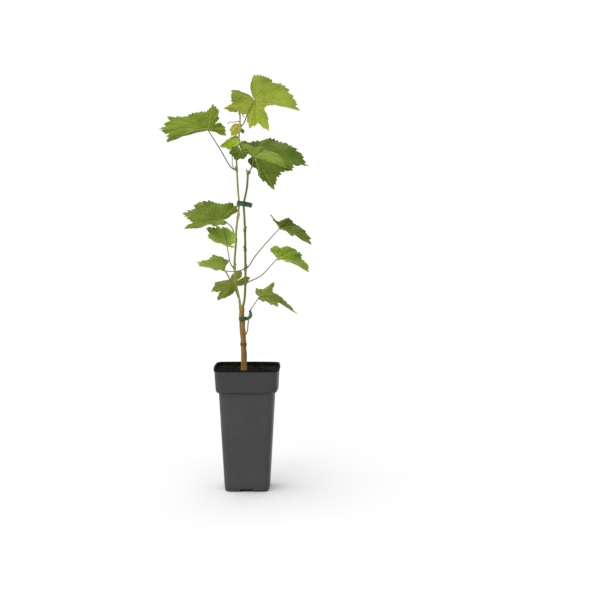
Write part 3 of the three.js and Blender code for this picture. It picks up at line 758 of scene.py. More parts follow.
SHOOTS = {
    "left": dict(
        line=[(-11.2, 0, 306), (-13, 0, 322), (-16.2, 0, 336), (-18.7, 0, 348), (-20, 0, 362),
              (-20.6, 0, 380), (-19.8, 0, 395), (-18.6, 0, 409), (-17.5, 0, 436),
              (-13.6, 0, 468), (-12.8, 0, 482), (-14.4, 1, 504), (-16, 0, 537),
              (-16.5, -1, 556), (-13.8, 0, 582), (-10.8, 0, 610), (-10.5, 0, 634)],
        base=2.0, tip=1.2, nodes=[350, 375, 420, 459, 537, 582, 608],
        tones=((130, 134, 58), (148, 150, 76), (118, 100, 44)),
    ),
    "right": dict(
        line=[(-7.2, 0, 306), (-4, 0, 322), (-2.6, 0, 348), (-2.4, 0, 375), (-2.6, 0, 404),
              (-3, 0, 437), (-4, 0, 462), (-4.9, 0, 481), (-2.4, 0, 493), (0.8, 0, 510),
              (2.4, 0, 536)],
        base=2.0, tip=1.7, nodes=[348, 373, 404, 437, 532],
        tones=((104, 98, 38), (118, 114, 54), (98, 70, 30)),
    ),
}


def trunk_radius(height):
    """Radius of the trunk: a taper, a root flare, one node ring and the swollen fork."""
    share = (height - SOIL_TOP) / (FORK - SOIL_TOP)
    radius = TRUNK_RADIUS - share + ROOT_FLARE * np.exp(-(height - SOIL_TOP) / FLARE_REACH)
    radius += NODE_SWELL * bump(height - TRUNK_NODE, NODE_REACH)
    return radius + FORK_SWELL * bump(height - FORK, FORK_REACH)


def make_trunk():
    """The trunk with lengthwise fibres, a flared foot and a dark node ring."""
    centres = curve_through(TRUNK, TRUNK_STEPS)
    around = circle(TRUNK_SIDES)
    height = centres[:, 2]
    radius = trunk_radius(height)[:, None] * np.ones(TRUNK_SIDES)
    spot = around[None] * 6 + np.array([0, 0, 0.10]) * height[:, None, None]
    fibre = ripple(spot, 2.2, 21) * 0.3 + ripple(spot, 5, 22) * 0.35
    coarse = around[None] * 5 + np.array([0, 0, 1.0]) * height[:, None, None]
    radius += np.clip(fibre, -0.55, 0.45) + ripple(coarse, 14, 23) * 0.25
    radius -= 0.5 * bump(height - TRUNK_NODE - 3.2, 1.3)[:, None]
    radius[-12:] *= np.linspace(1, 0.6, 12)[:, None] ** 0.5
    shell = Shell()
    shell.add_tube(centres, radius)
    made = shell.piece("trunk_wood", [bark_material()])
    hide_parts("trunk")


def shoot_line(name):
    """Centre line of a shoot."""
    return curve_through(SHOOTS[name]["line"], SHOOT_STEPS)


def shoot_radius(shoot, height):
    """Radius of a shoot at a height: a taper with swollen nodes."""
    foot, head = FORK, shoot["line"][-1][2]
    radius = shoot["base"] + (shoot["tip"] - shoot["base"]) * (height - foot) / (head - foot)
    for node in shoot["nodes"]:
        radius = radius + NODE_SWELL * bump(height - node, NODE_REACH)
    return radius


def add_bud(shell, foot, side):
    """A small bud that stands off a shoot to one side, -1 or 1."""
    swing = np.array([side * 0.8, -0.5, 0])
    line = curve_through([foot, foot + swing * 2.4 + [0, 0, 1.6], foot + swing * 3 + [0, 0, 5]],
                         BUD_STEPS)
    share = np.linspace(0, 1, BUD_STEPS)
    plump = 1.25 * np.sin(np.pi * (0.18 + 0.8 * share)) ** 0.8
    shell.add_tube(line, plump[:, None] * np.ones(BUD_SIDES))


def make_shoot(name):
    """A green shoot with fine ribs, swollen nodes and a bud at each node."""
    shoot = SHOOTS[name]
    centres = shoot_line(name)
    angle = np.arange(SHOOT_SIDES) / SHOOT_SIDES * TURN
    ribs = 1 + 0.035 * np.cos(angle * SHOOT_RIBS)
    radius = shoot_radius(shoot, centres[:, 2])[:, None] * ribs
    radius += 0.1 * ripple(centres[:, None] + circle(SHOOT_SIDES) * 2, 9, 31)
    radius[-8:] *= np.linspace(1, 0.35, 8)[:, None]
    shell = Shell()
    shell.add_tube(centres, radius)
    for k, node in enumerate(shoot["nodes"]):
        add_bud(shell, at_height(centres, node + 2), 1 if k % 2 else -1)
    made = shell.piece(f"shoot_{name}_stem", [shoot_material(f"Shoot_{name}", *shoot["tones"])])
    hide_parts(f"shoot_{name}")


# ---------------------------------------------------------------- leaves

# Each leaf has five main veins that fan out from its joint with the stalk: bearing (degrees
# from +X towards +Y), rise above level (degrees) and length. `dips` shapes the outline
# between neighbouring veins: how deep it dips, where, how sharply before and after that
# place, and how far the blade bulges to its upper face there (degrees). `skirt` is how far
# each base lobe runs on behind its own vein, `twist` how far that lobe is turned about the
# vein, and `bend` how far each vein bows sideways. A stalk leaves its carrier at `height`
# and passes through `by`. `tone` and `under` colour the upper and the lower face, and `patch`
# tones the fan from one place to another: painted shade on upper_right_near, a painted glow
# on crown_right. A `young` leaf has a greener stalk.
EVEN = (0.1, 0.5, 1.2, 1.2, 0)
STRAIGHT = (0, 0, 0, 0, 0)

LEAVES = [
    dict(
        name="crown_right", at=(15, -8, 652),
        veins=[(-100, 71, 43), (-9, -15, 77), (-15, -65, 56), (-138, -76, 49), (-153, 20, 47)],
        dips=[(0.27, 0.48, 0.5, 0.35, 0), (0.68, 0.63, 5, 1, 0),
              (0.28, 0.5, 0.8, 0.8, 0), (0.62, 0.2, 0.5, 0.35, 0)],
        skirt=(20, 14), bend=(0, -0.14, 0, 0, 0), young=True,
        carrier="left", height=609, by=[(-5, -4, 613.5), (0.5, -9, 626), (6, -13, 638.5)],
        # patch: a lime tone on the lower lobe, painted glow of light shining through it
        patch=(2, 3.1, (166, 180, 52)),
        tone=(132, 148, 46), under=(160, 174, 64),
    ),
    dict(
        name="crown_left", at=(-64, 0, 603.5),
        veins=[(71, 62, 50), (149, 14, 87), (176, 1, 84), (-156, -17, 76), (-42, -15, 46)],
        dips=[(0.38, 0.45, 2, 2.5, 0), (0.15, 0.35, 1, 1.2, 0),
              (0.12, 0.5, 1.2, 1.2, 0), (0.5, 0.5, 0.9, 1.5, 26)],
        skirt=(48, 60), twist=(0, 50),
        carrier="left", height=537, by=[(-25, 0, 541), (-43, 0, 570)],
        tone=(108, 126, 28), under=(130, 142, 54),
    ),
    dict(
        name="young_left", at=(-12.5, -13, 587),
        veins=[(127, 44, 10), (160, 7, 17), (180, -20, 34), (-155, -51, 23), (-108, -51, 13)],
        dips=[EVEN] * 4, skirt=(30, 35), young=True,
        carrier="left", height=581, by=[(-13, -7, 583)],
        tone=(166, 184, 48), under=(188, 198, 80),
    ),
    dict(
        name="upper_right", at=(9.5, 18, 561),
        veins=[(-92, -50, 22), (-29, -16, 81), (-2, -11, 98), (61, 38, 49), (129, 38, 43)],
        dips=[EVEN, EVEN, (0.05, 0.5, 1.5, 1.5, 0), (0.3, 0.5, 1.2, 1.2, 0)],
        skirt=(50, 35),
        carrier="right", height=531, by=[(10, 8, 545)],
        tone=(82, 104, 24), under=(116, 134, 46),
    ),
    dict(
        name="upper_right_near", at=(14.5, -20, 559),
        veins=[(-60, -64, 40), (-24, -58, 66), (-10, -18, 58), (64, 16, 46), (143, 36, 42)],
        dips=[(0.05, 0.5, 1.2, 1.2, 0), (0.14, 0.35, 1, 1, 0),
              (0.08, 0.5, 1, 1, 0), (0.3, 0.5, 1.2, 1.2, 0)],
        skirt=(6, 34),
        carrier="right", height=530, by=[(5, -10, 533), (9.5, -23, 543), (12, -24, 551)],
        # patch: painted shade, a dark green on the near half that hangs in shade below the lit fold
        patch=(-1.5, 1.95, (70, 88, 26)),
        tone=(116, 138, 38), under=(152, 172, 66),
    ),
    dict(
        name="upper_front", at=(-8, -25, 569),
        veins=[(172, 19, 17), (-158, -14, 22), (-120, -43, 24), (-66, -47, 20), (-15, -8, 15)],
        dips=[EVEN] * 4, skirt=(50, 50),
        carrier="left", height=566, by=[(-12, -12, 567)],
        tone=(72, 90, 14), under=(100, 116, 24),
    ),
    dict(
        name="middle_left", at=(-43.5, -8, 455),
        veins=[(42, 33, 46), (135, 27, 64), (169, 8, 67), (-153, -13, 68), (-77, -13, 40)],
        dips=[(0.27, 0.5, 1.5, 1.5, 0), EVEN, (0.26, 0.7, 1, 1, 0), (0.3, 0.55, 1, 1, 0)],
        skirt=(35, 25),
        carrier="left", height=420, by=[(-21, 2, 430), (-25, 4, 441), (-33, 0, 449)],
        tone=(98, 116, 28), under=(122, 136, 54),
    ),
    dict(
        name="middle_left_near", at=(-32.5, -10, 410.5),
        veins=[(15, 50, 24), (109, 49, 42), (-167, 41, 47), (-141, 19, 44), (-52, -1, 23)],
        dips=[(0.12, 0.5, 1, 1, 0), EVEN, EVEN, (0.45, 0.5, 1, 1, -6)],
        skirt=(52, 30),
        carrier="left", height=371, by=[(-23.5, -1, 375), (-27.5, -4, 382), (-30.3, -6, 397)],
        # tone: brighter than this leaf's own green, painted light that lifts the shade cast by
        # middle_left above
        tone=(172, 198, 88), under=(212, 226, 132),
    ),
    dict(
        name="lower_left", at=(-37, -3, 369),
        veins=[(70, 36, 29), (130, 37, 43), (173, 15, 53), (-151, 10, 49), (-82, -1, 24)],
        dips=[(0.22, 0.4, 0.9, 0.9, 0), (0.3, 0.5, 0.8, 0.8, 0), EVEN, (0.35, 0.5, 1, 1, 0)],
        skirt=(6, 20), bend=(0.2, 0, 0, 0, 0),
        carrier="right", height=372, by=[(-12, 5, 369), (-20, 6, 367), (-28.5, 3, 367.5)],
        tone=(140, 162, 62), under=(164, 180, 94),
    ),
    dict(
        name="bottom_left", at=(-19.5, 20, 348.5),
        veins=[(60, 46, 25), (165, -4, 38), (-175, -21, 46), (-166, -41, 44), (22, 17, 27)],
        dips=[(0.6, 0.6, 0.8, 3, 0), EVEN, (0.35, 0.5, 0.6, 0.6, 0), (0.75, 0.5, 1.5, 1.5, 0)],
        skirt=(30, 20),
        carrier="left", height=347, by=[(-20, 9, 345)],
        tone=(128, 138, 56), under=(158, 164, 88),
    ),
    dict(
        name="middle_right", at=(55.5, 0, 440.5),
        veins=[(-85, -3, 26), (-60, -13, 45), (-6, -29, 61), (50, 2, 50), (135, 43, 34)],
        dips=[(0.4, 0.5, 1.2, 1.2, 0), (0.15, 0.5, 1.2, 1.2, 4),
              (0.04, 0.5, 1.2, 1.2, 0), (0.6, 0.72, 1.3, 6, 12)],
        skirt=(20, 5),
        carrier="right", height=373, by=[(2, 0, 375.5), (14, 0, 393.5), (42, 0, 426)],
        tone=(86, 106, 22), under=(130, 144, 56),
    ),
    dict(
        name="lower_right", at=(52, 0, 390),
        veins=[(-85, -2, 26), (-58, -9, 43), (0, -24, 58), (50, 15, 51), (121, 32, 30)],
        dips=[(0.5, 0.5, 1.2, 1.2, 0), (0.15, 0.5, 1.2, 1.2, 4),
              (0.12, 0.55, 0.9, 0.9, 0), (0.05, 0.5, 1.2, 1.2, 0)],
        skirt=(15, 20),
        carrier="right", height=348, by=[(7, 0, 352), (23.5, 0, 360.5), (42, 0, 379.5)],
        tone=(144, 168, 50), under=(170, 184, 82),
    ),
    dict(
        name="bottom_right", at=(21, -8, 325.5),
        veins=[(-76, -12, 23), (-40, -23, 45), (5, -28, 73), (48, 31, 43), (110, 43, 21)],
        dips=[EVEN, (0.5, 0.55, 1.4, 3, 11), (0.48, 0.62, 1.8, 2, 0), (0.4, 0.4, 1.3, 2, -5)],
        skirt=(25, 25), bend=(0, 0, 0.2, 0, 0),
        carrier="trunk", height=255,
        by=[(0, -1, 266), (1.5, -1, 277), (3, -1.5, 291), (6, -2, 303), (12.5, -5, 313)],
        tone=(120, 128, 52), under=(146, 154, 80),
    ),
    dict(
        name="tip_young", at=(-12.5, 0, 638),
        veins=[(117, 48, 10), (158, 27, 18), (180, 1, 26), (-163, -16, 17), (-136, -38, 9)],
        dips=[EVEN] * 4, skirt=(30, 10), young=True,
        carrier="left", height=627, by=[(-13, 0, 633)],
        tone=(152, 154, 46), under=(174, 172, 78),
    ),
]

LAST_VEIN = 4
SKIRT_PLACES = [0, 0.25, 0.5, 0.75, 1]     # from the outer vein to the end of its base lobe
SKIRT_REACH = [1, 0.88, 0.74, 0.56, 0.1]   # as a share of that vein's length
NEARBY = [(-0.1, 0.6), (-0.05, 0.8), (0.05, 0.8), (0.1, 0.6)]  # places beside, and weights
TOOTH_WIDTH = 8
SMALL_LEAF, SMALL_TOOTH = 40, 0.6      # leaves that reach less far have finer teeth
TOOTH_STEPS = 8
TOOTH_VALLEY = 0.68          # the valley of a tooth lies towards the vein it leans to
TOOTH_DEPTH = 0.074          # as a share of the leaf's reach
TOOTH_CURVE = 1.25
RINGS = 26
ARCH = 0.15
PLEAT = 0.1                  # how far the blade rises between its main veins
RUFFLE = 0.03
HALF_THICK = 0.2
VEIN_HALF_AT_JOINT, VEIN_HALF_AT_EDGE = 0.8, 0.35
SIDE_VEIN_GAP = 7.5
SIDE_VEIN_LEAN = 0.85        # how far a side vein runs outward for each step to the side
QUILT_RISE = 0.55
GROOVE_DEPTH, GROOVE_HALF = 0.55, 1.1
RIB_DEPTH, RIB_HALF = 0.55, 0.7
SMALL_REACH = 60             # leaves that reach less far than this have a fainter relief
PATCH_BLUR = 0.12
STALK_BASE, STALK_TIP = 1.15, 0.8      # radii
STALK_SIDES, STALK_STEPS = 20, 120
STALK_TONE, YOUNG_STALK_TONE = (116, 120, 72), (124, 126, 56)
STALK_BLUSH = (100, 80, 52)


def vein_fan(leaf):
    """Directions and lengths of the main veins, and how the upper face looks at each."""
    bearing, rise, lengths = np.array(leaf["veins"], float).T
    bearing, rise = np.radians(bearing), np.radians(rise)
    level = np.cos(rise)
    rays = np.stack([level * np.cos(bearing), level * np.sin(bearing), np.sin(rise)], 1)
    faces = unit(np.cross(rays[:-1], rays[1:]))
    normals = unit(np.vstack([faces[:1], faces[:-1] + faces[1:], faces[-1:]]))
    return rays, lengths, faces, normals


def turned(vectors, axes, angles):
    """Vectors turned about axes at right angles to them."""
    return (vectors * np.cos(angles)[:, None]
            + np.cross(axes, vectors) * np.sin(angles)[:, None])


def ray_at(leaf, place):
    """Ray, reach and normal at places -1 to 5 of the fan: veins are whole numbers 0 to 4."""
    rays, lengths, faces, normals = vein_fan(leaf)
    i = np.clip(np.floor(place).astype(int), 0, LAST_VEIN - 1)
    share = np.clip(place - i, 0, 1)
    spread = np.arccos(np.clip(np.sum(rays[i] * rays[i + 1], 1), -1, 1))
    ray = (np.sin((1 - share) * spread)[:, None] * rays[i]
           + np.sin(share * spread)[:, None] * rays[i + 1]) / np.sin(spread)[:, None]
    depth, middle, before, after, bulge = np.array(leaf["dips"], float)[i].T
    ray = turned(ray, np.cross(ray, faces[i]), np.radians(bulge) * np.sin(np.pi * share))
    normal = unit(normals[i] * (1 - share)[:, None] + normals[i + 1] * share[:, None])
    off = np.where(share < middle, (middle - share) / middle, (share - middle) / (1 - middle))
    dip = depth * (1 - off ** np.where(share < middle, before, after))
    reach = (lengths[i] * (1 - share) + lengths[i + 1] * share) * (1 - dip)
    lobe_ray, lobe_reach, lobe_normal, over = lobe_at(leaf, place)
    outside = over > 0
    return (np.where(outside[:, None], lobe_ray, ray), np.where(outside, lobe_reach, reach),
            np.where(outside[:, None], lobe_normal, normal))


def lobe_at(leaf, place):
    """The same for the base lobes behind the first and the last vein, and how far past."""
    rays, lengths, _, normals = vein_fan(leaf)
    low = place < 0
    over = np.where(low, -place, place - LAST_VEIN)
    end = np.where(low, 0, LAST_VEIN)
    side = np.where(low, 0, 1)
    twist = np.radians(np.array(leaf.get("twist", (0, 0)), float))[side]
    axis = turned(normals[end], rays[end], twist)
    angle = np.radians(np.array(leaf["skirt"], float))[side] * over
    ray = turned(rays[end], axis, np.where(low, -angle, angle))
    return ray, lengths[end] * np.interp(over, SKIRT_PLACES, SKIRT_REACH), axis, over


def soft_ray_at(leaf, place):
    """The same, with the rays averaged a little across each vein so that nothing creases."""
    ray, reach, normal = ray_at(leaf, place)
    for shift, weight in NEARBY:
        ray = ray + ray_at(leaf, np.clip(place + shift, -1, 5))[0] * weight
    return unit(ray), reach, normal


def teeth_in(leaf, sector):
    """How many teeth fit on the edge between two main veins, or on that of a base lobe."""
    rays, lengths, _, _ = vein_fan(leaf)
    width = TOOTH_WIDTH * (SMALL_TOOTH if lengths.max() < SMALL_LEAF else 1)
    if 0 <= sector < LAST_VEIN:
        tips = rays * lengths[:, None]
        span = np.linalg.norm(tips[sector] - tips[sector + 1])
        return max(2, round(span * (1 + leaf["dips"][sector][0] * 0.6) / width))
    side = 0 if sector < 0 else 1
    skirt = math.radians(leaf["skirt"][side])
    return max(1, round(lengths[side * LAST_VEIN] * skirt * 0.9 / width))


def toothed_places(leaf, rng):
    """Places round the fan, with how far the outline is cut back at each."""
    places, cuts = [], []
    for sector in range(-1, LAST_VEIN + 1):
        teeth = teeth_in(leaf, sector)
        widths = rng.uniform(0.55, 1.5, teeth)
        ends = np.concatenate([[0], np.cumsum(widths)]) / widths.sum()
        for tooth in range(teeth):
            depth = widths[tooth] * rng.uniform(0.8, 1.3)
            first_half = ends[tooth] + ends[tooth + 1] < 1
            lean_back = first_half if 0 <= sector < LAST_VEIN else sector > 0
            valley = TOOTH_VALLEY if lean_back else 1 - TOOTH_VALLEY
            for step in range(TOOTH_STEPS):
                share = step / TOOTH_STEPS
                rise = share / valley if share < valley else (1 - share) / (1 - valley)
                places.append(sector + ends[tooth] * (1 - share) + ends[tooth + 1] * share)
                cuts.append(depth * rise**TOOTH_CURVE)
    return np.array(places + [LAST_VEIN + 1.0]), np.array(cuts + [0.0])


class Blade:
    """A leaf's blade as a grid: rings out from the joint, and columns round the fan."""

    def __init__(self, leaf):
        self.leaf = leaf
        self.rays = vein_fan(leaf)[0]
        self.seed = sum(map(ord, leaf["name"]))
        rng = np.random.default_rng(self.seed)
        self.place, cut = toothed_places(leaf, rng)
        self.ray, self.reach, self.normal = soft_ray_at(leaf, self.place)
        self.out = np.linspace(0, 1, RINGS + 1)[:, None]
        tooth = TOOTH_DEPTH * np.minimum(self.reach, self.reach.mean() * 1.2)
        self.length = self.reach * self.out - tooth * cut * self.out**8
        self.at = np.array(leaf["at"], float)
        side = np.cross(self.normal, self.ray)
        self.points = (self.at + self.ray * self.length[:, :, None]
                       + side * self.bow()[:, :, None] + self.normal * self.lift(rng)[:, :, None])

    def bow(self):
        """How far each point moves sideways, as its vein bends."""
        lengths = np.array(self.leaf["veins"], float)[:, 2]
        bend = self.leaf.get("bend", STRAIGHT)
        veins_and_ends = np.arange(-1, LAST_VEIN + 2)
        bend = np.interp(self.place, veins_and_ends, [bend[0], *bend, bend[-1]])
        span = np.interp(self.place, veins_and_ends, [lengths[0], *lengths, lengths[-1]])
        return 2 * bend * self.reach * self.out * (1 - self.reach * self.out / span)

    def lift(self, rng):
        """How far each point stands off the fan: an arch, ruffles and pleats between veins."""
        place, reach, out = self.place, self.reach, self.out
        first, second = rng.uniform(0, TURN, 2)
        waves = np.sin(TURN * place * 1.9 + first) + 0.5 * np.sin(TURN * place * 3.3 + second)
        fold = np.where((place > 0) & (place < LAST_VEIN), np.abs(np.sin(math.pi * place)), 0)
        return (ARCH * reach * out * (1 - out) + RUFFLE * reach.mean() * out**2 * waves
                + PLEAT * reach * fold * out * (1 - 0.55 * out))

    def beside(self, vein, columns):
        """How far along a main vein, and to which side of it, the chosen columns run."""
        axis, ray, length = self.rays[vein], self.ray[columns], self.length[:, columns]
        share = np.sum(ray * axis, -1)
        aside = np.linalg.norm(ray - axis * share[..., None], axis=-1)
        return length * share, length * aside * np.sign(self.place[columns] - vein)

    def relief(self):
        """The middle of the blade and its two faces: quilted, with grooves above and ribs below."""
        out = self.out
        nearest = np.clip(np.rint(self.place), 0, LAST_VEIN).astype(int)
        along, across = self.beside(nearest, np.arange(len(self.place)))
        away = np.abs(across)
        field = (along - SIDE_VEIN_LEAN * away) / SIDE_VEIN_GAP
        quilt = (0.5 - 0.5 * np.cos(TURN * field)) * np.clip(away / 3, 0, 1) * (1 - out**6)
        groove = np.exp(-((away / GROOVE_HALF) ** 2)) * (1 - 0.7 * out) * np.minimum(out * 8, 1)
        strength = min(1.0, self.length.max() / SMALL_REACH)
        swell = strength * (QUILT_RISE * quilt - GROOVE_DEPTH * groove)
        swell += strength * 0.9 * ripple(self.points, 26, self.seed) * out**0.5
        down, round_fan = np.gradient(self.points, axis=(0, 1))
        facing = unit(np.cross(down, round_fan))
        facing[0] = unit(self.normal.mean(0))
        middle = self.points + facing * swell[:, :, None]
        thick = HALF_THICK * (1 - out**6)
        rib = np.exp(-((away / RIB_HALF) ** 2)) * (1 - 0.8 * out) * (1 - out**6)
        below = thick + RIB_DEPTH * strength * rib
        return middle, middle + facing * thick[:, :, None], middle - facing * below[:, :, None]

    def joined(self):
        """Points of both faces, the ids of each face's grid, and the ids of the shared rim."""
        middle, upper, lower = self.relief()
        shape = self.length.shape
        rim = np.zeros(shape, bool)
        rim[-1] = True
        rim[:, [0, -1]] = True
        upper_ids = np.arange(rim.size).reshape(shape)
        upper_ids[0] = 0
        lower_ids = np.where(rim, upper_ids, upper_ids + rim.size)
        lower_ids[0] = rim.size
        upper[rim] = lower[rim] = middle[rim]
        facing = unit(self.normal.mean(0))
        upper[0, 0] = self.at + facing * HALF_THICK
        lower[0, 0] = self.at - facing * HALF_THICK * 2
        return np.vstack([*upper, *lower]), upper_ids, lower_ids, upper_ids[rim]

    def faces(self, upper_ids, lower_ids):
        """Faces, their slots (0 above, 1 below), and the values of both UV maps at each corner."""
        rings, columns = self.length.shape
        vein = np.clip(np.rint((self.place[:-1] + self.place[1:]) / 2), 0, LAST_VEIN).astype(int)
        left = self.beside(vein, np.arange(columns - 1))
        right = self.beside(vein, np.arange(1, columns))
        fan = fan_share(self.place)
        faces, slots, vein_uv, blade_uv = [], [], [], []
        for slot, ids in enumerate((upper_ids, lower_ids)):
            for r, c in np.ndindex(rings - 1, columns - 1):
                corners = [(r, c), (r + 1, c), (r + 1, c + 1), (r, c + 1)]
                if r == 0:
                    corners.pop()
                if slot == 1:
                    corners.reverse()
                faces.append([ids[corner] for corner in corners])
                slots.append(slot)
                for a, b in corners:
                    run, off = left if b == c else right
                    vein_uv.append((run[a, c] / UV_UNIT, off[a, c] / UV_UNIT))
                    blade_uv.append((a / (rings - 1), fan[b]))
        top, bottom = upper_ids[0, 0], lower_ids[0, 0]
        faces += [(upper_ids[1, 0], top, bottom), (top, upper_ids[1, -1], bottom)]
        slots += [0, 0]
        return faces, slots, vein_uv + [(0, 0)] * 6, blade_uv + [(0, 0)] * 6


def make_leaf(leaf):
    """A leaf: two faces that meet in a toothed edge, with sunk veins and quilted fields."""
    blade = Blade(leaf)
    points, upper_ids, lower_ids, rim = blade.joined()
    faces, slots, vein_uv, blade_uv = blade.faces(upper_ids, lower_ids)
    used = np.unique(np.concatenate(faces))
    order = {old: new for new, old in enumerate(used)}
    shell = Shell(("Veins", "Blade"))
    compact = [[order[i] for i in face] for face in faces]
    shell.add(points[used], compact, slots, Veins=vein_uv, Blade=blade_uv)
    shell.sharp = [order[i] for i in rim]
    name, patch = leaf["name"], leaf.get("patch")
    materials = [leaf_material(f"Leaf_{name}_upper", leaf["tone"], False, patch),
                 leaf_material(f"Leaf_{name}_under", leaf["under"], True, patch)]
    made = shell.piece(f"blade_{name}", materials)
    if "carrier" in leaf:
        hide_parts(f"leaf_{name}")


def make_stalk(leaf):
    """A leaf stalk, swollen where it leaves the stem and where it meets the blade."""
    carrier = leaf["carrier"]
    line = curve_through(TRUNK, 200) if carrier == "trunk" else shoot_line(carrier)
    start = at_height(line, leaf["height"])
    centres = curve_through([start, *leaf["by"], leaf["at"]], STALK_STEPS)
    total = runs_along(centres)[-1]
    run = np.linspace(0, total, len(centres))
    taper = STALK_BASE + (STALK_TIP - STALK_BASE) * run / total
    radius = taper + 0.75 * bump(run, 7) + 0.3 * bump(run - total, 4)
    radius *= min(1.0, 0.55 + total / 120)
    angle = np.arange(STALK_SIDES) / STALK_SIDES * TURN
    groove = 1 - 0.12 * bump(angle - math.pi, 0.9)
    shell = Shell()
    shell.add_tube(centres, radius[:, None] * groove)
    name = leaf["name"]
    tone = YOUNG_STALK_TONE if leaf.get("young") else STALK_TONE
    made = shell.piece(f"petiole_{name}", [stalk_material(f"Stalk_{name}", tone, STALK_BLUSH)])
    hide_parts(f"stalk_{name}")


# ---------------------------------------------------------------- ties


TIES = {
    "upper": dict(centre=(-9, 0, 481.5), inner=2.6, spread=8, width=8.5, slope=0.14,
                  tail=[(3, -0.6, -0.5), (7, -1, -1.4), (11, -1, -2.6)], end_width=8),
    "lower": dict(centre=(-8.2, 0, 287.5), inner=4.9, spread=0, width=6.5, slope=-0.1,
                  tail=[(3, -4, 0.6), (7.5, -6, 2.6), (10.3, -6.5, 6.8), (9.6, -6.2, 10.5),
                        (7.8, -5.6, 13)], end_width=3.2, knob=1.9),
}
TAPE_HALF_THICK = 0.4
TAPE_RIB_GAP = 1.6
TAPE_STEPS = 150
TAPE_FREE_FROM = 90                    # the step where the tape starts to narrow
BAND_START, BAND_END = 0.35, TURN - 0.1    # where the band begins and ends, in radians


def tie_path(tie):
    """Centre line of a tie: once round the stems, then along its free end."""
    turn = np.linspace(BAND_START, BAND_END, 60)
    outer = tie["inner"] + TAPE_HALF_THICK
    shift = np.where(np.cos(turn) > 0, tie["spread"] / 2, -tie["spread"] / 2)
    across = shift + outer * np.cos(turn)
    band = np.stack([across, -outer * np.sin(turn), -tie["slope"] * across], 1)
    tail = curve_through([band[-1], *(band[-1] + np.array(tie["tail"]))], 40)
    return np.array(tie["centre"]) + np.vstack([band, tail[1:]])


def tape_outline():
    """Cross-section of the tape: shares of its half width, and thickness."""
    share = np.linspace(-1, 1, 9)
    crown = TAPE_HALF_THICK * (1 - 0.6 * share**4)
    return np.vstack([np.column_stack([share, crown]), np.column_stack([share, -crown])[::-1]])


def make_tie(name):
    """A band of soft tape round the stems, with its free end standing off at the right."""
    tie = TIES[name]
    path = respaced(tie_path(tie), TAPE_STEPS)
    outline = tape_outline()
    narrow = np.interp(np.arange(TAPE_STEPS), [0, TAPE_FREE_FROM, TAPE_STEPS - 1], [1, 1, 0])
    widths = tie["end_width"] + (tie["width"] - tie["end_width"]) * narrow
    across = np.array([0, 0, 1.0])
    points = []
    for spot, direction, width in zip(path, unit(np.gradient(path, axis=0)), widths):
        across = unit(across - direction * (across @ direction))
        away = np.cross(direction, across)
        points.append(spot + across * outline[:, :1] * width / 2 + away * outline[:, 1:])
    count = len(outline)
    end = (TAPE_STEPS - 1) * count
    faces = [(a, d, c, b) for a, b, c, d in wall_faces(TAPE_STEPS, count)]
    faces = [tuple(range(count)), *faces, tuple(reversed(range(end, end + count)))]
    shell = Shell()
    shell.add(np.vstack(points), faces)
    if "knob" in tie:
        shell.add_lump(path[-1], tie["knob"], 5, 0.2, (1, 1, 1.2), 2)
    made = shell.piece(f"tie_{name}_tape", [tie_material()])
    crisp(made, 40)
    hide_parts(f"tie_{name}")


# ---------------------------------------------------------------- small parts

SIDE_STEM = [(-36.5, -2.5, 368), (-34.3, -2, 365.4), (-29, -3, 356), (-22.3, -2.5, 344),
             (-17.6, -1.5, 333), (-14.6, 0, 324)]
TENDRILS = {
    "top": [(-9.7, -1, 617), (-15, -3, 618), (-22, -4, 616.4), (-28, -4, 616.6), (-30, -2, 614.5),
            (-28.4, -1, 613.4)],
    "inner": [(-9.8, -1, 633), (-7, -4, 630), (-4.6, -4, 625.5), (-3, -2.5, 624.6)],
    "side": [(-16, -1, 538), (-20.5, -3, 539.4), (-23.4, -4, 546), (-23.6, -4, 556),
             (-24.4, -5, 565), (-26.6, -6, 569), (-28.4, -5, 566.6)],
}
BRACT = dict(
    name="bract", at=(-11, -4, 613),
    veins=[(-174, 0, 11), (-164, -27, 20), (-147, -53, 27), (-120, -60, 25), (-82, -59, 16)],
    dips=[EVEN] * 4, skirt=(20, 20), tone=(188, 172, 58), under=(196, 172, 68),
    patch=(2.2, 5.2, (150, 158, 56)),
)

SHEATH = dict(
    name="sheath", at=(-8, -4, 606),
    veins=[(140, 30, 7), (112, 20, 15), (96, -10, 25), (78, -30, 17), (50, -30, 9)],
    dips=[EVEN] * 4, skirt=(20, 20), tone=(126, 136, 44), under=(140, 146, 60),
)
KNOBS = {"right": [(3.2, -1, 533), 3.4], "left": [(-10.6, -1, 612), 2.6]}
KNOB_TONES = ((118, 132, 52), (136, 146, 66), (96, 88, 40))
THIN_STEPS, THIN_SIDES = 90, 12


def thin_stem(name, points, thick, thin, tone, blush):
    """A thin stem that rides with the plant and has no CAD node of its own."""
    centres = curve_through(points, THIN_STEPS)
    radius = np.linspace(thick, thin, THIN_STEPS)[:, None] * np.ones(THIN_SIDES)
    shell = Shell()
    shell.add_tube(centres, radius)
    made = shell.piece(name, [stalk_material(name.capitalize(), tone, blush)])


def make_small_parts():
    """The side stem, the tendrils, the bract and sheath near the top, and two swollen nodes."""
    thin_stem("side_stem", SIDE_STEM, 0.9, 1.7, (112, 120, 56), (104, 96, 46))
    for name, points in TENDRILS.items():
        thin_stem(f"tendril_{name}", points, 0.75, 0.45, (104, 98, 60), (84, 58, 40))
    make_leaf(BRACT)
    make_leaf(SHEATH)
    for name, (spot, radius) in KNOBS.items():
        shell = Shell()
        shell.add_lump(np.array(spot, float), radius, len(name), 0.12, (1, 0.9, 1.25), 3)
        made = shell.piece(f"knob_{name}", [shoot_material(f"Knob_{name}", *KNOB_TONES)])


# ---------------------------------------------------------------- assembly

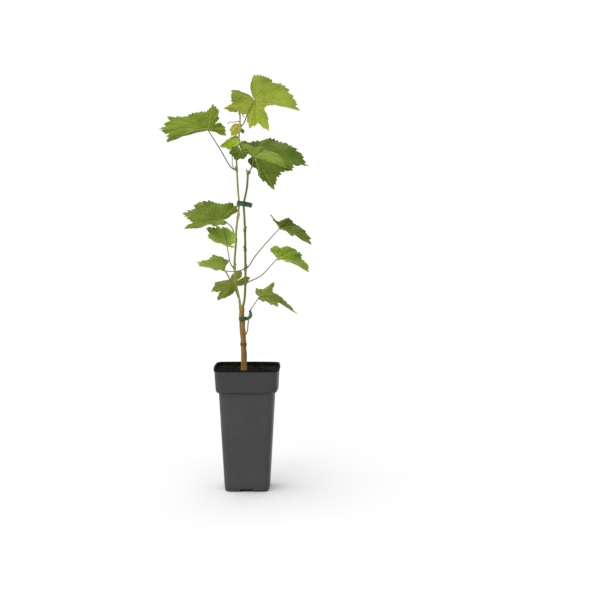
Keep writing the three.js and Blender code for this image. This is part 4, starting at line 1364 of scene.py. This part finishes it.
make_pot()
make_soil()
make_trunk()
for shoot_name in SHOOTS:
    make_shoot(shoot_name)
for entry in LEAVES:
    make_stalk(entry)
    make_leaf(entry)
make_tie("upper")
make_tie("lower")
make_small_parts()


# ---------------------------------------------------------------- stage, light, camera

FLOOR_RINGS = [0.4, 1.2, 6.0]          # radii in metres
FLOOR_SIDES = 96
FLOOR_DROP = 0.0002                    # metres between the floor and the pot's foot
SUN_WIDTH = 30                         # degrees
STUDIO_WHITE = 1.03                    # strength of the backdrop
CAMERA_PLACE = (0.0892, -2.3, 0.5224)  # metres
CAMERA_TILT = 84.96                    # degrees up from straight down
LENS, SENSOR = 82.34, 36               # millimetres


def make_stage():
    """A pale round floor under the pot."""
    points = np.vstack([[0, 0, 0], *[circle(FLOOR_SIDES) * r / MM for r in FLOOR_RINGS]])
    faces = [(0, 1 + k, 1 + (k + 1) % FLOOR_SIDES) for k in range(FLOOR_SIDES)]
    for a, b, c, d in wall_faces(len(FLOOR_RINGS), FLOOR_SIDES):
        faces.append((a + 1, d + 1, c + 1, b + 1))
    shell = Shell()
    shell.add(points, faces)
    look = Shader(bpy.data.materials.new("Floor"))
    base = look.mix(look.noise(2, 2), (194, 194, 194), (197, 197, 197))
    floor = shell.piece("floor", [look.finish(base, 0.9, 0.1)])
    floor.location.z = -FLOOR_DROP


def add_sun(name, energy, turn):
    """A wide, soft sun. It shines straight down before it is turned, in degrees."""
    sun = bpy.data.lights.new(name, "SUN")
    sun.energy = energy
    sun.angle = math.radians(SUN_WIDTH)
    placed(name, sun).rotation_euler = [math.radians(angle) for angle in turn]


def make_light():
    """A white studio, brightest overhead and dim at the right, with two soft suns."""
    world = bpy.data.worlds.new("studio")
    look = Shader(world)
    split = look.node("SeparateXYZ", {0: look.places["Generated"]})
    overhead = look.band(split.outputs[2], 0.2, 0.9, STUDIO_WHITE, 2.6)
    shade = look.band(split.outputs[0], 0.1, 0.8, 1, 0.2)
    seen = look.node("LightPath").outputs["Is Camera Ray"]
    light = look.times(overhead, shade)
    strength = look.node("Mix", {0: seen, 2: light, 3: STUDIO_WHITE}).outputs[0]
    white = look.node("Background", {"Color": (1, 1, 1, 1), "Strength": strength})
    look.node("OutputWorld", {"Surface": white.outputs[0]})
    bpy.context.scene.world = world
    add_sun("key", 0.6, (48, 0, -22))
    add_sun("side", 0.3, (80, 0, -70))


def make_camera():
    """The photograph's own viewpoint: a long lens, a little above the plant's middle."""
    camera = bpy.data.cameras.new("camera")
    camera.lens = LENS
    camera.sensor_width = SENSOR
    made = placed("camera", camera)
    made.location = CAMERA_PLACE
    made.rotation_euler = (math.radians(CAMERA_TILT), 0, 0)
    bpy.context.scene.camera = made


make_stage()
make_light()
make_camera()
bpy.context.scene.view_settings.view_transform = "Standard"
